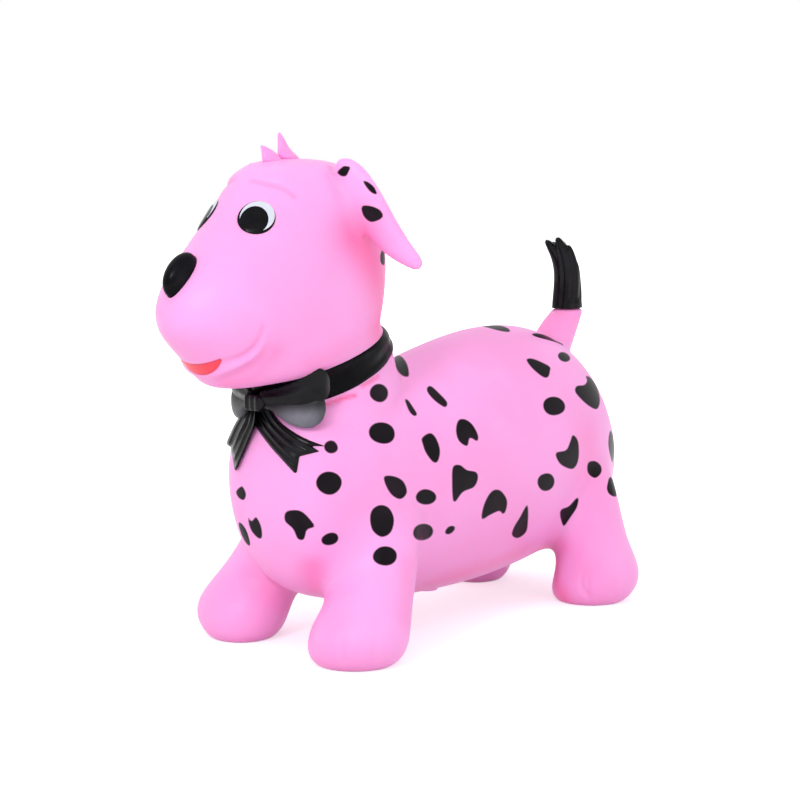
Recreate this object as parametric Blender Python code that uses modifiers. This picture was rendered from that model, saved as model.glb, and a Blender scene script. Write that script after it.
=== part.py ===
"""Bouncy ride-on dog: an air-filled vinyl hopper with flap ears, a collar with a bow and a tufted tail.

Units are metres and +Z is up. The dog faces -Y and its left side is at +X. The origin lies on the floor, in
the middle of the dog's length and width. The skin is parted along its natural lines, with PARTING between
neighbours, so that the ears, the tail, the feet and the valve plug can move.
"""
import math

import bmesh
import bpy
from mathutils import Matrix, Vector
from mathutils.bvhtree import BVHTree

# Skin and clearances
WALL = 0.0021
PARTING = 0.0003
OVERRUN = 0.004
TINY = 0.0001

# Cage counts: corners of a ring, and subdivisions of an outer and an inner surface
RING_POINTS = 8
OUTER_LEVELS = 2
INNER_LEVELS = 1
SMALL_LEVELS = 1
BALL_SEGMENTS = 14
BALL_ROWS = 8
TURNED_STEPS = 24

# Torso, lofted from chest to rump
TORSO_FRONT_Y = -0.1990
TORSO_LENGTH = 0.508
TORSO_HALF_WIDTH = 0.100
BELLY_Z = 0.026
TORSO_HEIGHT = 0.280
# Share of the length, of the half width, of the height for underside and back, and of the way between those
# two for the widest place
TORSO_RING_SHARES = (
    (0.000, 0.42, 0.30, 0.66, 0.54),
    (0.050, 0.78, 0.13, 0.85, 0.60),
    (0.180, 0.97, 0.05, 0.885, 0.62),
    (0.380, 1.00, 0.01, 0.920, 0.54),
    (0.600, 1.00, 0.00, 0.998, 0.47),
    (0.810, 0.96, 0.05, 0.985, 0.46),
    (0.950, 0.79, 0.12, 0.79, 0.46),
    (1.000, 0.43, 0.21, 0.54, 0.48),
)

# Neck and collar: an ellipse in a plane that tips down towards the chest
NECK_Y = -0.1120
NECK_SINK = 0.022
NECK_Z = BELLY_Z + TORSO_HEIGHT - NECK_SINK
NECK_HALF_WIDTH = 0.067
NECK_HALF_LENGTH = 0.080
NECK_TILT = math.radians(-12)
COLLAR_HEIGHT = 0.025
COLLAR_PROUD = 0.0045
COLLAR_STEPS = 12
BAND_SQUARENESS = 1.12

# Head: lofted upwards from inside the torso, through the neck, to the crown
HEAD_HEIGHT = 0.203
HEAD_TOP_Z = NECK_Z + HEAD_HEIGHT
HEAD_BACK_Y = -0.0530
HEAD_LENGTH = 0.258
HEAD_HALF_WIDTH = 0.083
HEAD_WIDEST_Y = -0.1370
# Share of the way from neck to crown for the ring's centre, of the half width, of the reach back and
# forward from the widest place, and of the neck's tilt
HEAD_RING_SHARES = (
    (0.085, 0.90, 0.95, 0.70, 1.25),
    (0.210, 0.96, 0.98, 0.885, 1.00),
    (0.370, 1.01, 1.00, 1.035, 0.85),
    (0.540, 1.01, 0.98, 0.95, 0.65),
    (0.720, 0.95, 0.88, 0.625, 0.40),
    (0.880, 0.78, 0.66, 0.44, 0.00),
    (0.995, 0.46, 0.36, 0.31, 0.00),
)
# The same for the neck below it: share of the collar's height down from its middle, and of the neck's
# half width and half length
NECK_RING_SHARES = (
    (-3.00, 1.08, 1.00),
    (-1.80, 1.07, 1.01),
    (-0.70, 1.00, 0.99),
    (0.40, 0.98, 0.98),
)

# Limbs: from a hip inside the torso out to a swollen foot
TRACK = 0.167
FRONT_FOOT_Y = -0.1440
REAR_FOOT_INSET = 0.078
REAR_FOOT_Y = TORSO_FRONT_Y + TORSO_LENGTH - REAR_FOOT_INSET
HIP_TRACK = 0.128
FRONT_HIP_Y = -0.0870
REAR_HIP_INSET = 0.087
REAR_HIP_Y = TORSO_FRONT_Y + TORSO_LENGTH - REAR_HIP_INSET
HIP_Z = 0.160
FOOT_HALF_LENGTH = 0.0500
FOOT_HALF_WIDTH = 0.0500
REAR_LIMB_SHARE = 0.96
FOOT_HEIGHT = 0.034
SOLE_THICKNESS = 0.004
# Share of the hip's height, of the way from hip to foot, and of the foot's half length (along the toes,
# which point forward and outward) and half width
LIMB_RING_SHARES = (
    (1.000, 0.00, 0.66, 0.66),
    (0.780, 0.08, 0.83, 0.83),
    (0.580, 0.30, 0.85, 0.83),
    (0.390, 0.68, 0.92, 0.86),
    (0.210, 1.00, 0.99, 1.02),
    (0.060, 1.02, 0.93, 0.97),
    (-0.040, 1.00, 0.70, 0.70),
)

# Ears: a flap that leaves the side of the head, sideways, down and a little back
EAR_ROOT_X = 0.066
EAR_ROOT_Y = -0.1410
EAR_ROOT_RISE = 0.164
EAR_TIP_X = 0.132
EAR_TIP_Y = -0.1140
EAR_TIP_RISE = 0.097
EAR_ROOT = Vector((EAR_ROOT_X, EAR_ROOT_Y, NECK_Z + EAR_ROOT_RISE))
EAR_TIP = Vector((EAR_TIP_X, EAR_TIP_Y, NECK_Z + EAR_TIP_RISE))
EAR_ROOT_HALF_WIDTH = 0.033
EAR_HALF_THICKNESS = 0.0075
EAR_LIFT = 0.0085
EAR_CLEARANCE = 0.0045
EAR_BEAD_RADIUS = 0.0085
EAR_BEAD_HALF_LENGTH = 0.016
EAR_LEAN_SHARE = 0.30
# Share of the way from root to tip, of the lift above that line, of the half width and of the thickness
EAR_RING_SHARES = (
    (-0.12, 0.00, 1.08, 1.00),
    (0.14, 1.30, 1.20, 1.05),
    (0.42, 1.10, 0.92, 1.00),
    (0.70, 0.50, 0.62, 0.90),
    (0.95, -0.10, 0.36, 0.78),
    (1.04, -0.20, 0.16, 0.40),
)

# Share of the half length and of the radius of the bead that the ear turns on
CAPSULE_RING_SHARES = ((-1.00, 0.35), (-0.85, 0.90), (0.00, 1.00), (0.85, 0.90), (1.00, 0.35))

# Tail: a stem on a ball root, with a tuft of pointed locks
TAIL_INSET = 0.051
TAIL_SINK = 0.023
TAIL_ROOT = Vector((0, TORSO_FRONT_Y + TORSO_LENGTH - TAIL_INSET, BELLY_Z + TORSO_HEIGHT - TAIL_SINK))
TAIL_BALL_RADIUS = 0.0215
TAIL_BALL_SEGMENTS = 20
TAIL_BALL_ROWS = 14
TAIL_SOCKET_CLEARANCE = 0.0008
TAIL_STEM_RADIUS = 0.0178
# Share of the way from the ball to the tuft, and of the stem's radius
TAIL_RING_SHARES = ((-0.20, 1.00), (0.30, 1.02), (0.70, 1.00), (1.15, 0.97))
TAIL_STEM_BACK = 0.0230
TAIL_STEM_RISE = 0.0300
TUFT_FORWARD = 0.0060
TUFT_RISE = 0.0610
TUFT_BASE = TAIL_ROOT + Vector((0, TAIL_STEM_BACK, TAIL_STEM_RISE))
TUFT_TOP = TUFT_BASE + Vector((0, -TUFT_FORWARD, TUFT_RISE))
TUFT_HALF_WIDTH = 0.0170
TUFT_BEND = 0.006
TUFT_LOCK_COUNT = 4
TUFT_LOCK_RADIUS = 0.0082
TUFT_LOCK_RISE = 0.020
TUFT_LOCK_SWEEP = 0.016
# Share of the way up the tuft, of the backward bend and of the half width
TUFT_RING_SHARES = (
    (-0.15, 0.0, 1.00),
    (0.10, 0.3, 1.03),
    (0.50, 1.0, 1.00),
    (0.85, 0.8, 0.93),
    (1.00, 0.5, 0.55),
)
# Share of the lock's rise, sweep and radius
LOCK_RING_SHARES = ((-0.45, 0.00, 1.00), (0.35, 0.25, 0.95), (1.00, 1.00, 0.20))

# Bow: knot, loops and tails laid on the chest
BOW_KNOT_SINK = 0.034
BOW_KNOT_Z = NECK_Z - BOW_KNOT_SINK
BOW_KNOT_HALF_WIDTH = 0.011
BOW_KNOT_HALF_HEIGHT = 0.013
BOW_PROUD = 0.016
BOW_LOOP_REACH = 0.061
BOW_LOOP_FORWARD = 0.016
BOW_CLEARANCE = 0.0005
BOW_LOOP_HALF_HEIGHT = 0.031
BOW_TAIL_DROP = 0.058
BOW_TAIL_SPREAD = 0.046
BOW_TAIL_HALF_WIDTH = 0.017
NOTCH_SHARE = 0.50
NOTCH_SHIFT_SHARE = 0.13
# Share of the loop's reach, of its drop below the knot, of its half height and of how proud it stands
LOOP_RING_SHARES = (
    (0.06, 0.00, 0.30, 0.80),
    (0.30, -0.05, 0.55, 1.00),
    (0.65, -0.05, 0.92, 1.00),
    (0.90, 0.05, 0.85, 0.85),
    (1.00, 0.10, 0.50, 0.45),
)
# Share of the way down the tail, of its half width and of how proud it stands
BOW_TAIL_RING_SHARES = (
    (0.05, 0.40, 0.60),
    (0.35, 0.62, 0.60),
    (0.75, 0.95, 0.50),
    (1.00, 1.10, 0.42),
    (1.08, 1.00, 0.36),
)

# Face: each feature is placed by a level and a side offset, and seated on the head from the front
NOSE_RISE = 0.095
NOSE_Z = NECK_Z + NOSE_RISE
NOSE_HALF_WIDTH = 0.0185
NOSE_HALF_HEIGHT = 0.0235
NOSE_PROUD = 0.012
EYE_X = 0.036
EYE_RISE = 0.147
EYE_Z = NECK_Z + EYE_RISE
EYE_HALF_WIDTH = 0.0185
EYE_HALF_HEIGHT = 0.0175
EYE_PROUD = 0.0034
PUPIL_RADIUS = 0.0135
PUPIL_PROUD = 0.0052
PUPIL_DROP = 0.0022
PUPIL_INWARD = 0.0020
TONGUE_RISE = 0.009
TONGUE_Z = NECK_Z + TONGUE_RISE
TONGUE_HALF_WIDTH = 0.028
TONGUE_HALF_HEIGHT = 0.0075
TONGUE_PROUD = 0.0020
TONGUE_DEPTH = 0.0090
HAIR_BACK_Y = -0.1530
HAIR_BACK_HEIGHT = 0.026
HAIR_FRONT_Y = -0.1800
HAIR_FRONT_HEIGHT = 0.015
HAIR_RADIUS = 0.0095
HAIR_SWEEP_SHARE = 0.50
# Share of the spike's height, of its sweep and of its radius
SPIKE_RING_SHARES = ((-0.30, 0.00, 1.20), (0.10, 0.05, 1.00), (0.60, 0.45, 0.50), (1.00, 1.00, 0.12))

# Air valve in the belly: a seat welded in the skin, and a plug pushed into it from below
VALVE_Y = 0.0430
VALVE_SEAT_RADIUS = 0.0125
VALVE_SEAT_LENGTH = 0.0140
VALVE_BORE_RADIUS = 0.0045
VALVE_RECESS_RADIUS = 0.0092
VALVE_RECESS_DEPTH = 0.0024
PLUG_FLANGE_RADIUS = 0.0085
PLUG_FLANGE_THICKNESS = 0.0020
PLUG_LENGTH = 0.0150
PLUG_CLEARANCE = 0.00015
PLUG_CHAMFER = 0.0008

# Colours, linear
PINK = (0.985, 0.360, 0.790)
BLACK = (0.012, 0.012, 0.016)
WHITE = (0.80, 0.86, 0.92)
RED = (0.93, 0.075, 0.110)

SIDE = Vector((1, 0, 0))
FRONT = Vector((0, -1, 0))
UP = Vector((0, 0, 1))
ORIGIN = Vector((0, 0, 0))


def clear_scene():
    for obj in list(bpy.data.objects):
        bpy.data.objects.remove(obj, do_unlink=True)
    for collection in list(bpy.data.collections):
        bpy.data.collections.remove(collection)
    parts = bpy.data.collections.new("bouncy_dog")
    cutters = bpy.data.collections.new("cutters")
    bpy.context.scene.collection.children.link(parts)
    bpy.context.scene.collection.children.link(cutters)
    return parts, cutters


PARTS, CUTTERS = clear_scene()


def vinyl(name, colour, roughness):
    material = bpy.data.materials.new(name)
    material.use_nodes = True
    shader = material.node_tree.nodes["Principled BSDF"]
    shader.inputs["Base Color"].default_value = (*colour, 1)
    shader.inputs["Roughness"].default_value = roughness
    shader.inputs["Metallic"].default_value = 0
    material.diffuse_color = (*colour, 1)
    return material


PINK_VINYL = vinyl("pink_vinyl", PINK, 0.42)
BLACK_VINYL = vinyl("black_vinyl", BLACK, 0.25)
WHITE_VINYL = vinyl("white_vinyl", WHITE, 0.20)
RED_VINYL = vinyl("red_vinyl", RED, 0.40)
PALE_PLUG = vinyl("pale_plug", WHITE, 0.45)


def subdivide(obj, levels):
    if levels == 0:
        return
    modifier = obj.modifiers.new("soft", "SUBSURF")
    modifier.levels = levels
    modifier.render_levels = levels


def grow(obj, distance):
    modifier = obj.modifiers.new("grow", "DISPLACE")
    modifier.mid_level = 0
    modifier.strength = distance


def boolean(obj, other, operation):
    modifier = obj.modifiers.new(operation.lower(), "BOOLEAN")
    modifier.operation = operation
    modifier.object = other
    modifier.solver = "EXACT"


def cut_by(obj, others):
    """One cut with all the others at once, where cuts that follow each other would leave slivers."""
    group = bpy.data.collections.new(obj.name + "_cutters")
    CUTTERS.children.link(group)
    for other in others:
        group.objects.link(other)
    modifier = obj.modifiers.new("difference", "BOOLEAN")
    modifier.operation = "DIFFERENCE"
    modifier.operand_type = "COLLECTION"
    modifier.collection = group
    modifier.solver = "EXACT"


def cutter(name, mesh):
    """An object that only shapes others: drawn as wire and left out of the render."""
    obj = bpy.data.objects.new(name, mesh)
    obj.display_type = "WIRE"
    obj.hide_render = True
    CUTTERS.objects.link(obj)
    return obj


def copy_of(form, name, distance=0.0, levels=None):
    """A second cutter on a form's cage, displaced along its normals and at another smoothness."""
    obj = cutter(name, form.data)
    for modifier in form.modifiers:
        if modifier.type == "SUBSURF":
            subdivide(obj, modifier.levels if levels is None else levels)
    if distance:
        grow(obj, distance)
    return obj


def part(name, form, material, axis_point=ORIGIN):
    """A piece of the toy on a form's cage, with its origin on axis_point."""
    mesh = form.data.copy()
    mesh.name = name
    mesh.transform(Matrix.Translation(-axis_point))
    mesh.materials.clear()
    mesh.materials.append(material)
    obj = bpy.data.objects.new(name, mesh)
    obj.location = axis_point
    PARTS.objects.link(obj)
    for modifier in form.modifiers:
        if modifier.type == "SUBSURF":
            subdivide(obj, modifier.levels)
    for polygon in mesh.polygons:
        polygon.use_smooth = True
    return obj


def ring_swell(corners):
    """How far out the corners of a round cage lie, so that the subdivided ring has radius 1."""
    return 6 / (4 + 2 * math.cos(2 * math.pi / corners))


def ring(centre, side, up, half_width, up_reach, down_reach, squareness=1.0):
    """Corners of one cage ring, set out so that the subdivided ring keeps the stated reaches."""
    swell = ring_swell(RING_POINTS)
    corners = []
    for i in range(RING_POINTS):
        angle = 2 * math.pi * i / RING_POINTS
        reach = up_reach if math.sin(angle) > 0 else down_reach
        push = swell * (squareness if i % 2 else 1.0)
        across = side * (half_width * push * math.cos(angle))
        corners.append(centre + across + up * (reach * push * math.sin(angle)))
    return corners


def round_ring(centre, side, up, radius):
    return ring(centre, side, up, radius, radius, radius)


def loft(name, rings, levels, closed=False):
    """A soft form through the rings: a closed cage of quads under a Subdivision Surface."""
    mesh = bpy.data.meshes.new(name)
    bm = bmesh.new()
    loops = [[bm.verts.new(corner) for corner in corners] for corners in rings]
    pairs = list(zip(loops, loops[1:]))
    if closed:
        pairs.append((loops[-1], loops[0]))
    else:
        bm.faces.new(loops[0])
        bm.faces.new(loops[-1])
    for first, second in pairs:
        for i in range(len(first)):
            j = (i + 1) % len(first)
            bm.faces.new((first[i], first[j], second[j], second[i]))
    bmesh.ops.recalc_face_normals(bm, faces=bm.faces)
    bm.to_mesh(mesh)
    bm.free()
    obj = cutter(name, mesh)
    subdivide(obj, levels)
    return obj


def block(name, low, high, turn=None, pivot=ORIGIN):
    """A box cutter between two corners, turned about pivot."""
    mesh = bpy.data.meshes.new(name)
    bm = bmesh.new()
    bmesh.ops.create_cube(bm, size=1)
    size = high - low
    bmesh.ops.scale(bm, vec=size, verts=bm.verts)
    bmesh.ops.translate(bm, vec=low + size / 2, verts=bm.verts)
    if turn is not None:
        bmesh.ops.rotate(bm, cent=pivot, matrix=turn, verts=bm.verts)
    bm.to_mesh(mesh)
    bm.free()
    return cutter(name, mesh)


def ball(name, centre, radii, turn=None, segments=BALL_SEGMENTS, rows=BALL_ROWS):
    """An ellipsoid cutter or base form with its own axes turned by turn."""
    mesh = bpy.data.meshes.new(name)
    bm = bmesh.new()
    bmesh.ops.create_uvsphere(bm, u_segments=segments, v_segments=rows, radius=1)
    bmesh.ops.scale(bm, vec=radii, verts=bm.verts)
    if turn is not None:
        bmesh.ops.rotate(bm, cent=ORIGIN, matrix=turn, verts=bm.verts)
    bmesh.ops.translate(bm, vec=centre, verts=bm.verts)
    bm.to_mesh(mesh)
    bm.free()
    return cutter(name, mesh)


def cylinder(name, base, radius, height):
    """An upright cylinder cutter through base, OVERRUN longer at both ends."""
    mesh = bpy.data.meshes.new(name)
    bm = bmesh.new()
    bmesh.ops.create_cone(bm, cap_ends=True, segments=TURNED_STEPS, radius1=radius, radius2=radius,
                          depth=height + OVERRUN * 2)
    bmesh.ops.translate(bm, vec=base + UP * (height / 2), verts=bm.verts)
    bm.to_mesh(mesh)
    bm.free()
    return cutter(name, mesh)


def turned(name, profile, material, place):
    """A turned piece: a closed or axis-to-axis profile of (radius, height) under a Screw."""
    mesh = bpy.data.meshes.new(name)
    closed = profile[0][0] > 0
    edges = [(i, i + 1) for i in range(len(profile) - 1)]
    if closed:
        edges.append((len(profile) - 1, 0))
    mesh.from_pydata([(radius, 0, height) for radius, height in profile], edges, [])
    mesh.materials.append(material)
    obj = bpy.data.objects.new(name, mesh)
    obj.location = place
    PARTS.objects.link(obj)
    screw = obj.modifiers.new("turn", "SCREW")
    screw.steps = TURNED_STEPS
    screw.render_steps = TURNED_STEPS
    screw.use_merge_vertices = True
    screw.merge_threshold = TINY
    return obj


def surface_of(form):
    bpy.context.view_layer.update()
    return BVHTree.FromObject(form, bpy.context.evaluated_depsgraph_get())


def seat_on(surface, start, direction):
    """The place and outward normal where a line from start meets a surface."""
    place, normal, _, _ = surface.ray_cast(start, direction)
    return place, normal


def frame_on(normal):
    """Axes for a feature on the skin: x sideways, y up the skin, z out of it."""
    side = UP.cross(normal).normalized()
    up = normal.cross(side).normalized()
    return Matrix((side, up, normal)).transposed()


def mirrored(vector, side):
    return Vector((vector.x * side, vector.y, vector.z))


def torso_form():
    rings = []
    for along, width, under, back, widest in TORSO_RING_SHARES:
        bottom = BELLY_Z + TORSO_HEIGHT * under
        top = BELLY_Z + TORSO_HEIGHT * back
        waist = bottom + (top - bottom) * widest
        centre = Vector((0, TORSO_FRONT_Y + TORSO_LENGTH * along, waist))
        rings.append(ring(centre, SIDE, UP, TORSO_HALF_WIDTH * width, top - waist, waist - bottom))
    return loft("torso_form", rings, OUTER_LEVELS)


def head_form():
    neck = Vector((0, NECK_Y, NECK_Z))
    tilt = Matrix.Rotation(-NECK_TILT, 3, "X")
    rings = []
    for rise, width, length in NECK_RING_SHARES:
        centre = neck + tilt @ UP * (COLLAR_HEIGHT * rise)
        rings.append(ring(centre, SIDE, tilt @ FRONT, NECK_HALF_WIDTH * width, NECK_HALF_LENGTH * length,
                          NECK_HALF_LENGTH * length))
    forward_reach = HEAD_LENGTH - (HEAD_BACK_Y - HEAD_WIDEST_Y)
    back_reach = HEAD_BACK_Y - HEAD_WIDEST_Y
    for rise, width, back, front, tip in HEAD_RING_SHARES:
        tilt = Matrix.Rotation(-NECK_TILT * tip, 3, "X")
        centre = Vector((0, HEAD_WIDEST_Y, NECK_Z + (HEAD_TOP_Z - NECK_Z) * rise))
        rings.append(ring(centre, SIDE, tilt @ FRONT, HEAD_HALF_WIDTH * width, forward_reach * front,
                          back_reach * back))
    return loft("head_form", rings, OUTER_LEVELS)


def limb_form(name, side, hip_y, foot_y, share):
    hip = Vector((side * HIP_TRACK / 2, hip_y, HIP_Z))
    foot = Vector((side * TRACK / 2, foot_y, 0))
    rings = []
    toes = Vector((side, -1, 0)).normalized()
    across = Vector((side, 1, 0)).normalized()
    for height, way, length, width in LIMB_RING_SHARES:
        centre = hip.lerp(foot, way)
        centre.z = HIP_Z * height
        half_length = FOOT_HALF_LENGTH * length * share
        half_width = FOOT_HALF_WIDTH * width * share
        rings.append(ring(centre, toes, across, half_length, half_width, half_width))
    return loft(name, rings, SMALL_LEVELS)


def add_limbs(torso_grown, torso_skin):
    """Each limb is one hollow form, parted into a leg and a foot, with a hole for it in the torso."""
    reach = Vector((TRACK * 2, TORSO_LENGTH, HIP_Z))
    for name, side, hip_y, foot_y, share in (
        ("front_left", 1, FRONT_HIP_Y, FRONT_FOOT_Y, 1.0),
        ("front_right", -1, FRONT_HIP_Y, FRONT_FOOT_Y, 1.0),
        ("rear_left", 1, REAR_HIP_Y, REAR_FOOT_Y, REAR_LIMB_SHARE),
        ("rear_right", -1, REAR_HIP_Y, REAR_FOOT_Y, REAR_LIMB_SHARE),
    ):
        form = limb_form(name + "_limb_form", side, hip_y, foot_y, share)
        foot = Vector((side * TRACK / 2, foot_y, 0))
        floor = block(name + "_floor", foot - reach, foot + Vector((reach.x, reach.y, 0)))
        inner_floor = block(name + "_inner_floor", foot - reach,
                            foot + Vector((reach.x, reach.y, SOLE_THICKNESS)))
        above = block(name + "_above_foot", foot + Vector((-reach.x, -reach.y, FOOT_HEIGHT - PARTING / 2)),
                      foot + reach)
        below = block(name + "_below_leg", foot - reach,
                      foot + Vector((reach.x, reach.y, FOOT_HEIGHT + PARTING / 2)))
        hollow = copy_of(form, name + "_hollow", -WALL, SMALL_LEVELS)
        boolean(hollow, inner_floor, "DIFFERENCE")

        leg = part(name + "_leg", form, PINK_VINYL)
        boolean(leg, below, "DIFFERENCE")
        boolean(leg, torso_grown, "DIFFERENCE")
        boolean(leg, hollow, "DIFFERENCE")

        sole = part(name + "_foot", form, PINK_VINYL, foot)
        boolean(sole, above, "DIFFERENCE")
        boolean(sole, floor, "DIFFERENCE")
        boolean(sole, hollow, "DIFFERENCE")

        boolean(torso_skin, hollow, "DIFFERENCE")


def ear_axes(side):
    """Hinge point, hinge direction (down the root), and the directions out along and through the flap."""
    root = mirrored(EAR_ROOT, side)
    tip = mirrored(EAR_TIP, side)
    out = (tip - root).normalized()
    chord = Vector((side * EAR_LEAN_SHARE, EAR_LEAN_SHARE / 2, -1)).normalized()
    through = out.cross(chord).normalized()
    return root, tip, out, chord, through


def ear_form(name, side):
    root, tip, out, chord, through = ear_axes(side)
    lift = through.cross(out).normalized()
    lift = lift if lift.z > 0 else -lift
    rings = []
    count = len(EAR_RING_SHARES)
    for i, (way, rise, width, thickness) in enumerate(EAR_RING_SHARES):
        centre = root.lerp(tip, way) + lift * (EAR_LIFT * rise)
        turn = i / (count - 1)
        across = (chord.lerp(-lift, turn)).normalized()
        rings.append(ring(centre, across, through, EAR_ROOT_HALF_WIDTH * width,
                          EAR_HALF_THICKNESS * thickness, EAR_HALF_THICKNESS * thickness))
    return loft(name, rings, SMALL_LEVELS)


def capsule(name, centre, direction, half_length, radius):
    """A short bar with round ends along direction."""
    side = direction.orthogonal().normalized()
    up = direction.cross(side).normalized()
    rings = []
    for along, size in CAPSULE_RING_SHARES:
        rings.append(round_ring(centre + direction * (half_length * along), side, up, radius * size))
    return loft(name, rings, SMALL_LEVELS)


def add_ears(head, head_skin):
    """Each flap clears the head by EAR_CLEARANCE and turns on a bead that lies in a slot of the skin."""
    head_clear = copy_of(head, "head_clear", EAR_CLEARANCE)
    for name, side in (("left_ear", 1), ("right_ear", -1)):
        root, _, _, chord, _ = ear_axes(side)
        form = ear_form(name + "_form", side)
        flap = copy_of(form, name + "_flap")
        boolean(flap, head_clear, "DIFFERENCE")
        bead = capsule(name + "_bead", root, chord, EAR_BEAD_HALF_LENGTH, EAR_BEAD_RADIUS)
        slot = copy_of(bead, name + "_slot", PARTING)
        ear = part(name, bead, PINK_VINYL, root)
        boolean(ear, flap, "UNION")
        boolean(head_skin, slot, "DIFFERENCE")


def add_tail(torso_skin):
    """The stem stands on a ball in a round socket of the rump, and the tuft sits on the stem."""
    root, base, top = TAIL_ROOT, TUFT_BASE, TUFT_TOP
    rise = (base - root).normalized()
    back = rise.cross(SIDE).normalized()
    rings = [round_ring(root.lerp(base, way), SIDE, back, TAIL_STEM_RADIUS * size)
             for way, size in TAIL_RING_SHARES]
    stem_form = loft("tail_stem_form", rings, SMALL_LEVELS)
    socket_radius = TAIL_BALL_RADIUS + TAIL_SOCKET_CLEARANCE
    ball_form = ball("tail_ball", root, Vector((TAIL_BALL_RADIUS,) * 3), None,
                     TAIL_BALL_SEGMENTS, TAIL_BALL_ROWS)
    socket = ball("tail_socket", root, Vector((socket_radius,) * 3), None,
                  TAIL_BALL_SEGMENTS, TAIL_BALL_ROWS)
    boolean(torso_skin, socket, "DIFFERENCE")

    span = Vector((TUFT_HALF_WIDTH * 3,) * 3)
    turn = rise.to_track_quat("Z", "Y").to_matrix()
    above = block("tail_above", base - Vector((span.x, span.y, PARTING / 2)), base + span, turn, base)
    below = block("tail_below", base - span, base + Vector((span.x, span.y, PARTING / 2)), turn, base)
    stem = part("tail_stem", ball_form, PINK_VINYL, root)
    boolean(stem, stem_form, "UNION")
    boolean(stem, above, "DIFFERENCE")

    rings = [round_ring(base.lerp(top, way) + back * (TUFT_BEND * bend), SIDE, back, TUFT_HALF_WIDTH * size)
             for way, bend, size in TUFT_RING_SHARES]
    tuft = part("tail_tuft", loft("tail_tuft_form", rings, SMALL_LEVELS), BLACK_VINYL, root)
    boolean(tuft, below, "DIFFERENCE")
    for i in range(TUFT_LOCK_COUNT):
        angle = 2 * math.pi * i / TUFT_LOCK_COUNT
        foot = top + (SIDE * math.cos(angle) + back * math.sin(angle)) * (TUFT_HALF_WIDTH - TUFT_LOCK_RADIUS)
        rings = []
        for way, sweep, size in LOCK_RING_SHARES:
            centre = foot + UP * (TUFT_LOCK_RISE * way) + FRONT * (TUFT_LOCK_SWEEP * sweep)
            rings.append(round_ring(centre, SIDE, back, TUFT_LOCK_RADIUS * size))
        boolean(tuft, loft(f"tuft_lock_{i + 1}", rings, SMALL_LEVELS), "UNION")


def neck_frame():
    """The neck's middle, and the directions across its tilted plane and along it."""
    tilt = Matrix.Rotation(-NECK_TILT, 3, "X")
    return Vector((0, NECK_Y, NECK_Z)), tilt @ FRONT, tilt @ UP


def add_collar(torso_grown, head_grown):
    """A band round the neck that hides the parting between head and torso."""
    neck, ahead, along = neck_frame()
    swell = ring_swell(COLLAR_STEPS)
    rings = []
    for i in range(COLLAR_STEPS):
        angle = 2 * math.pi * i / COLLAR_STEPS
        across = SIDE * (NECK_HALF_WIDTH * math.cos(angle)) + ahead * (NECK_HALF_LENGTH * math.sin(angle))
        outward = SIDE * (math.cos(angle) / NECK_HALF_WIDTH) + ahead * (math.sin(angle) / NECK_HALF_LENGTH)
        rings.append(ring(neck + across * swell, along, outward.normalized(), COLLAR_HEIGHT / 2,
                          COLLAR_PROUD, COLLAR_PROUD, BAND_SQUARENESS))
    form = loft("collar_form", rings, SMALL_LEVELS, closed=True)
    collar = part("collar", form, BLACK_VINYL)
    boolean(collar, head_grown, "DIFFERENCE")
    boolean(collar, torso_grown, "DIFFERENCE")
    return copy_of(form, "collar_grown", PARTING)


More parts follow.
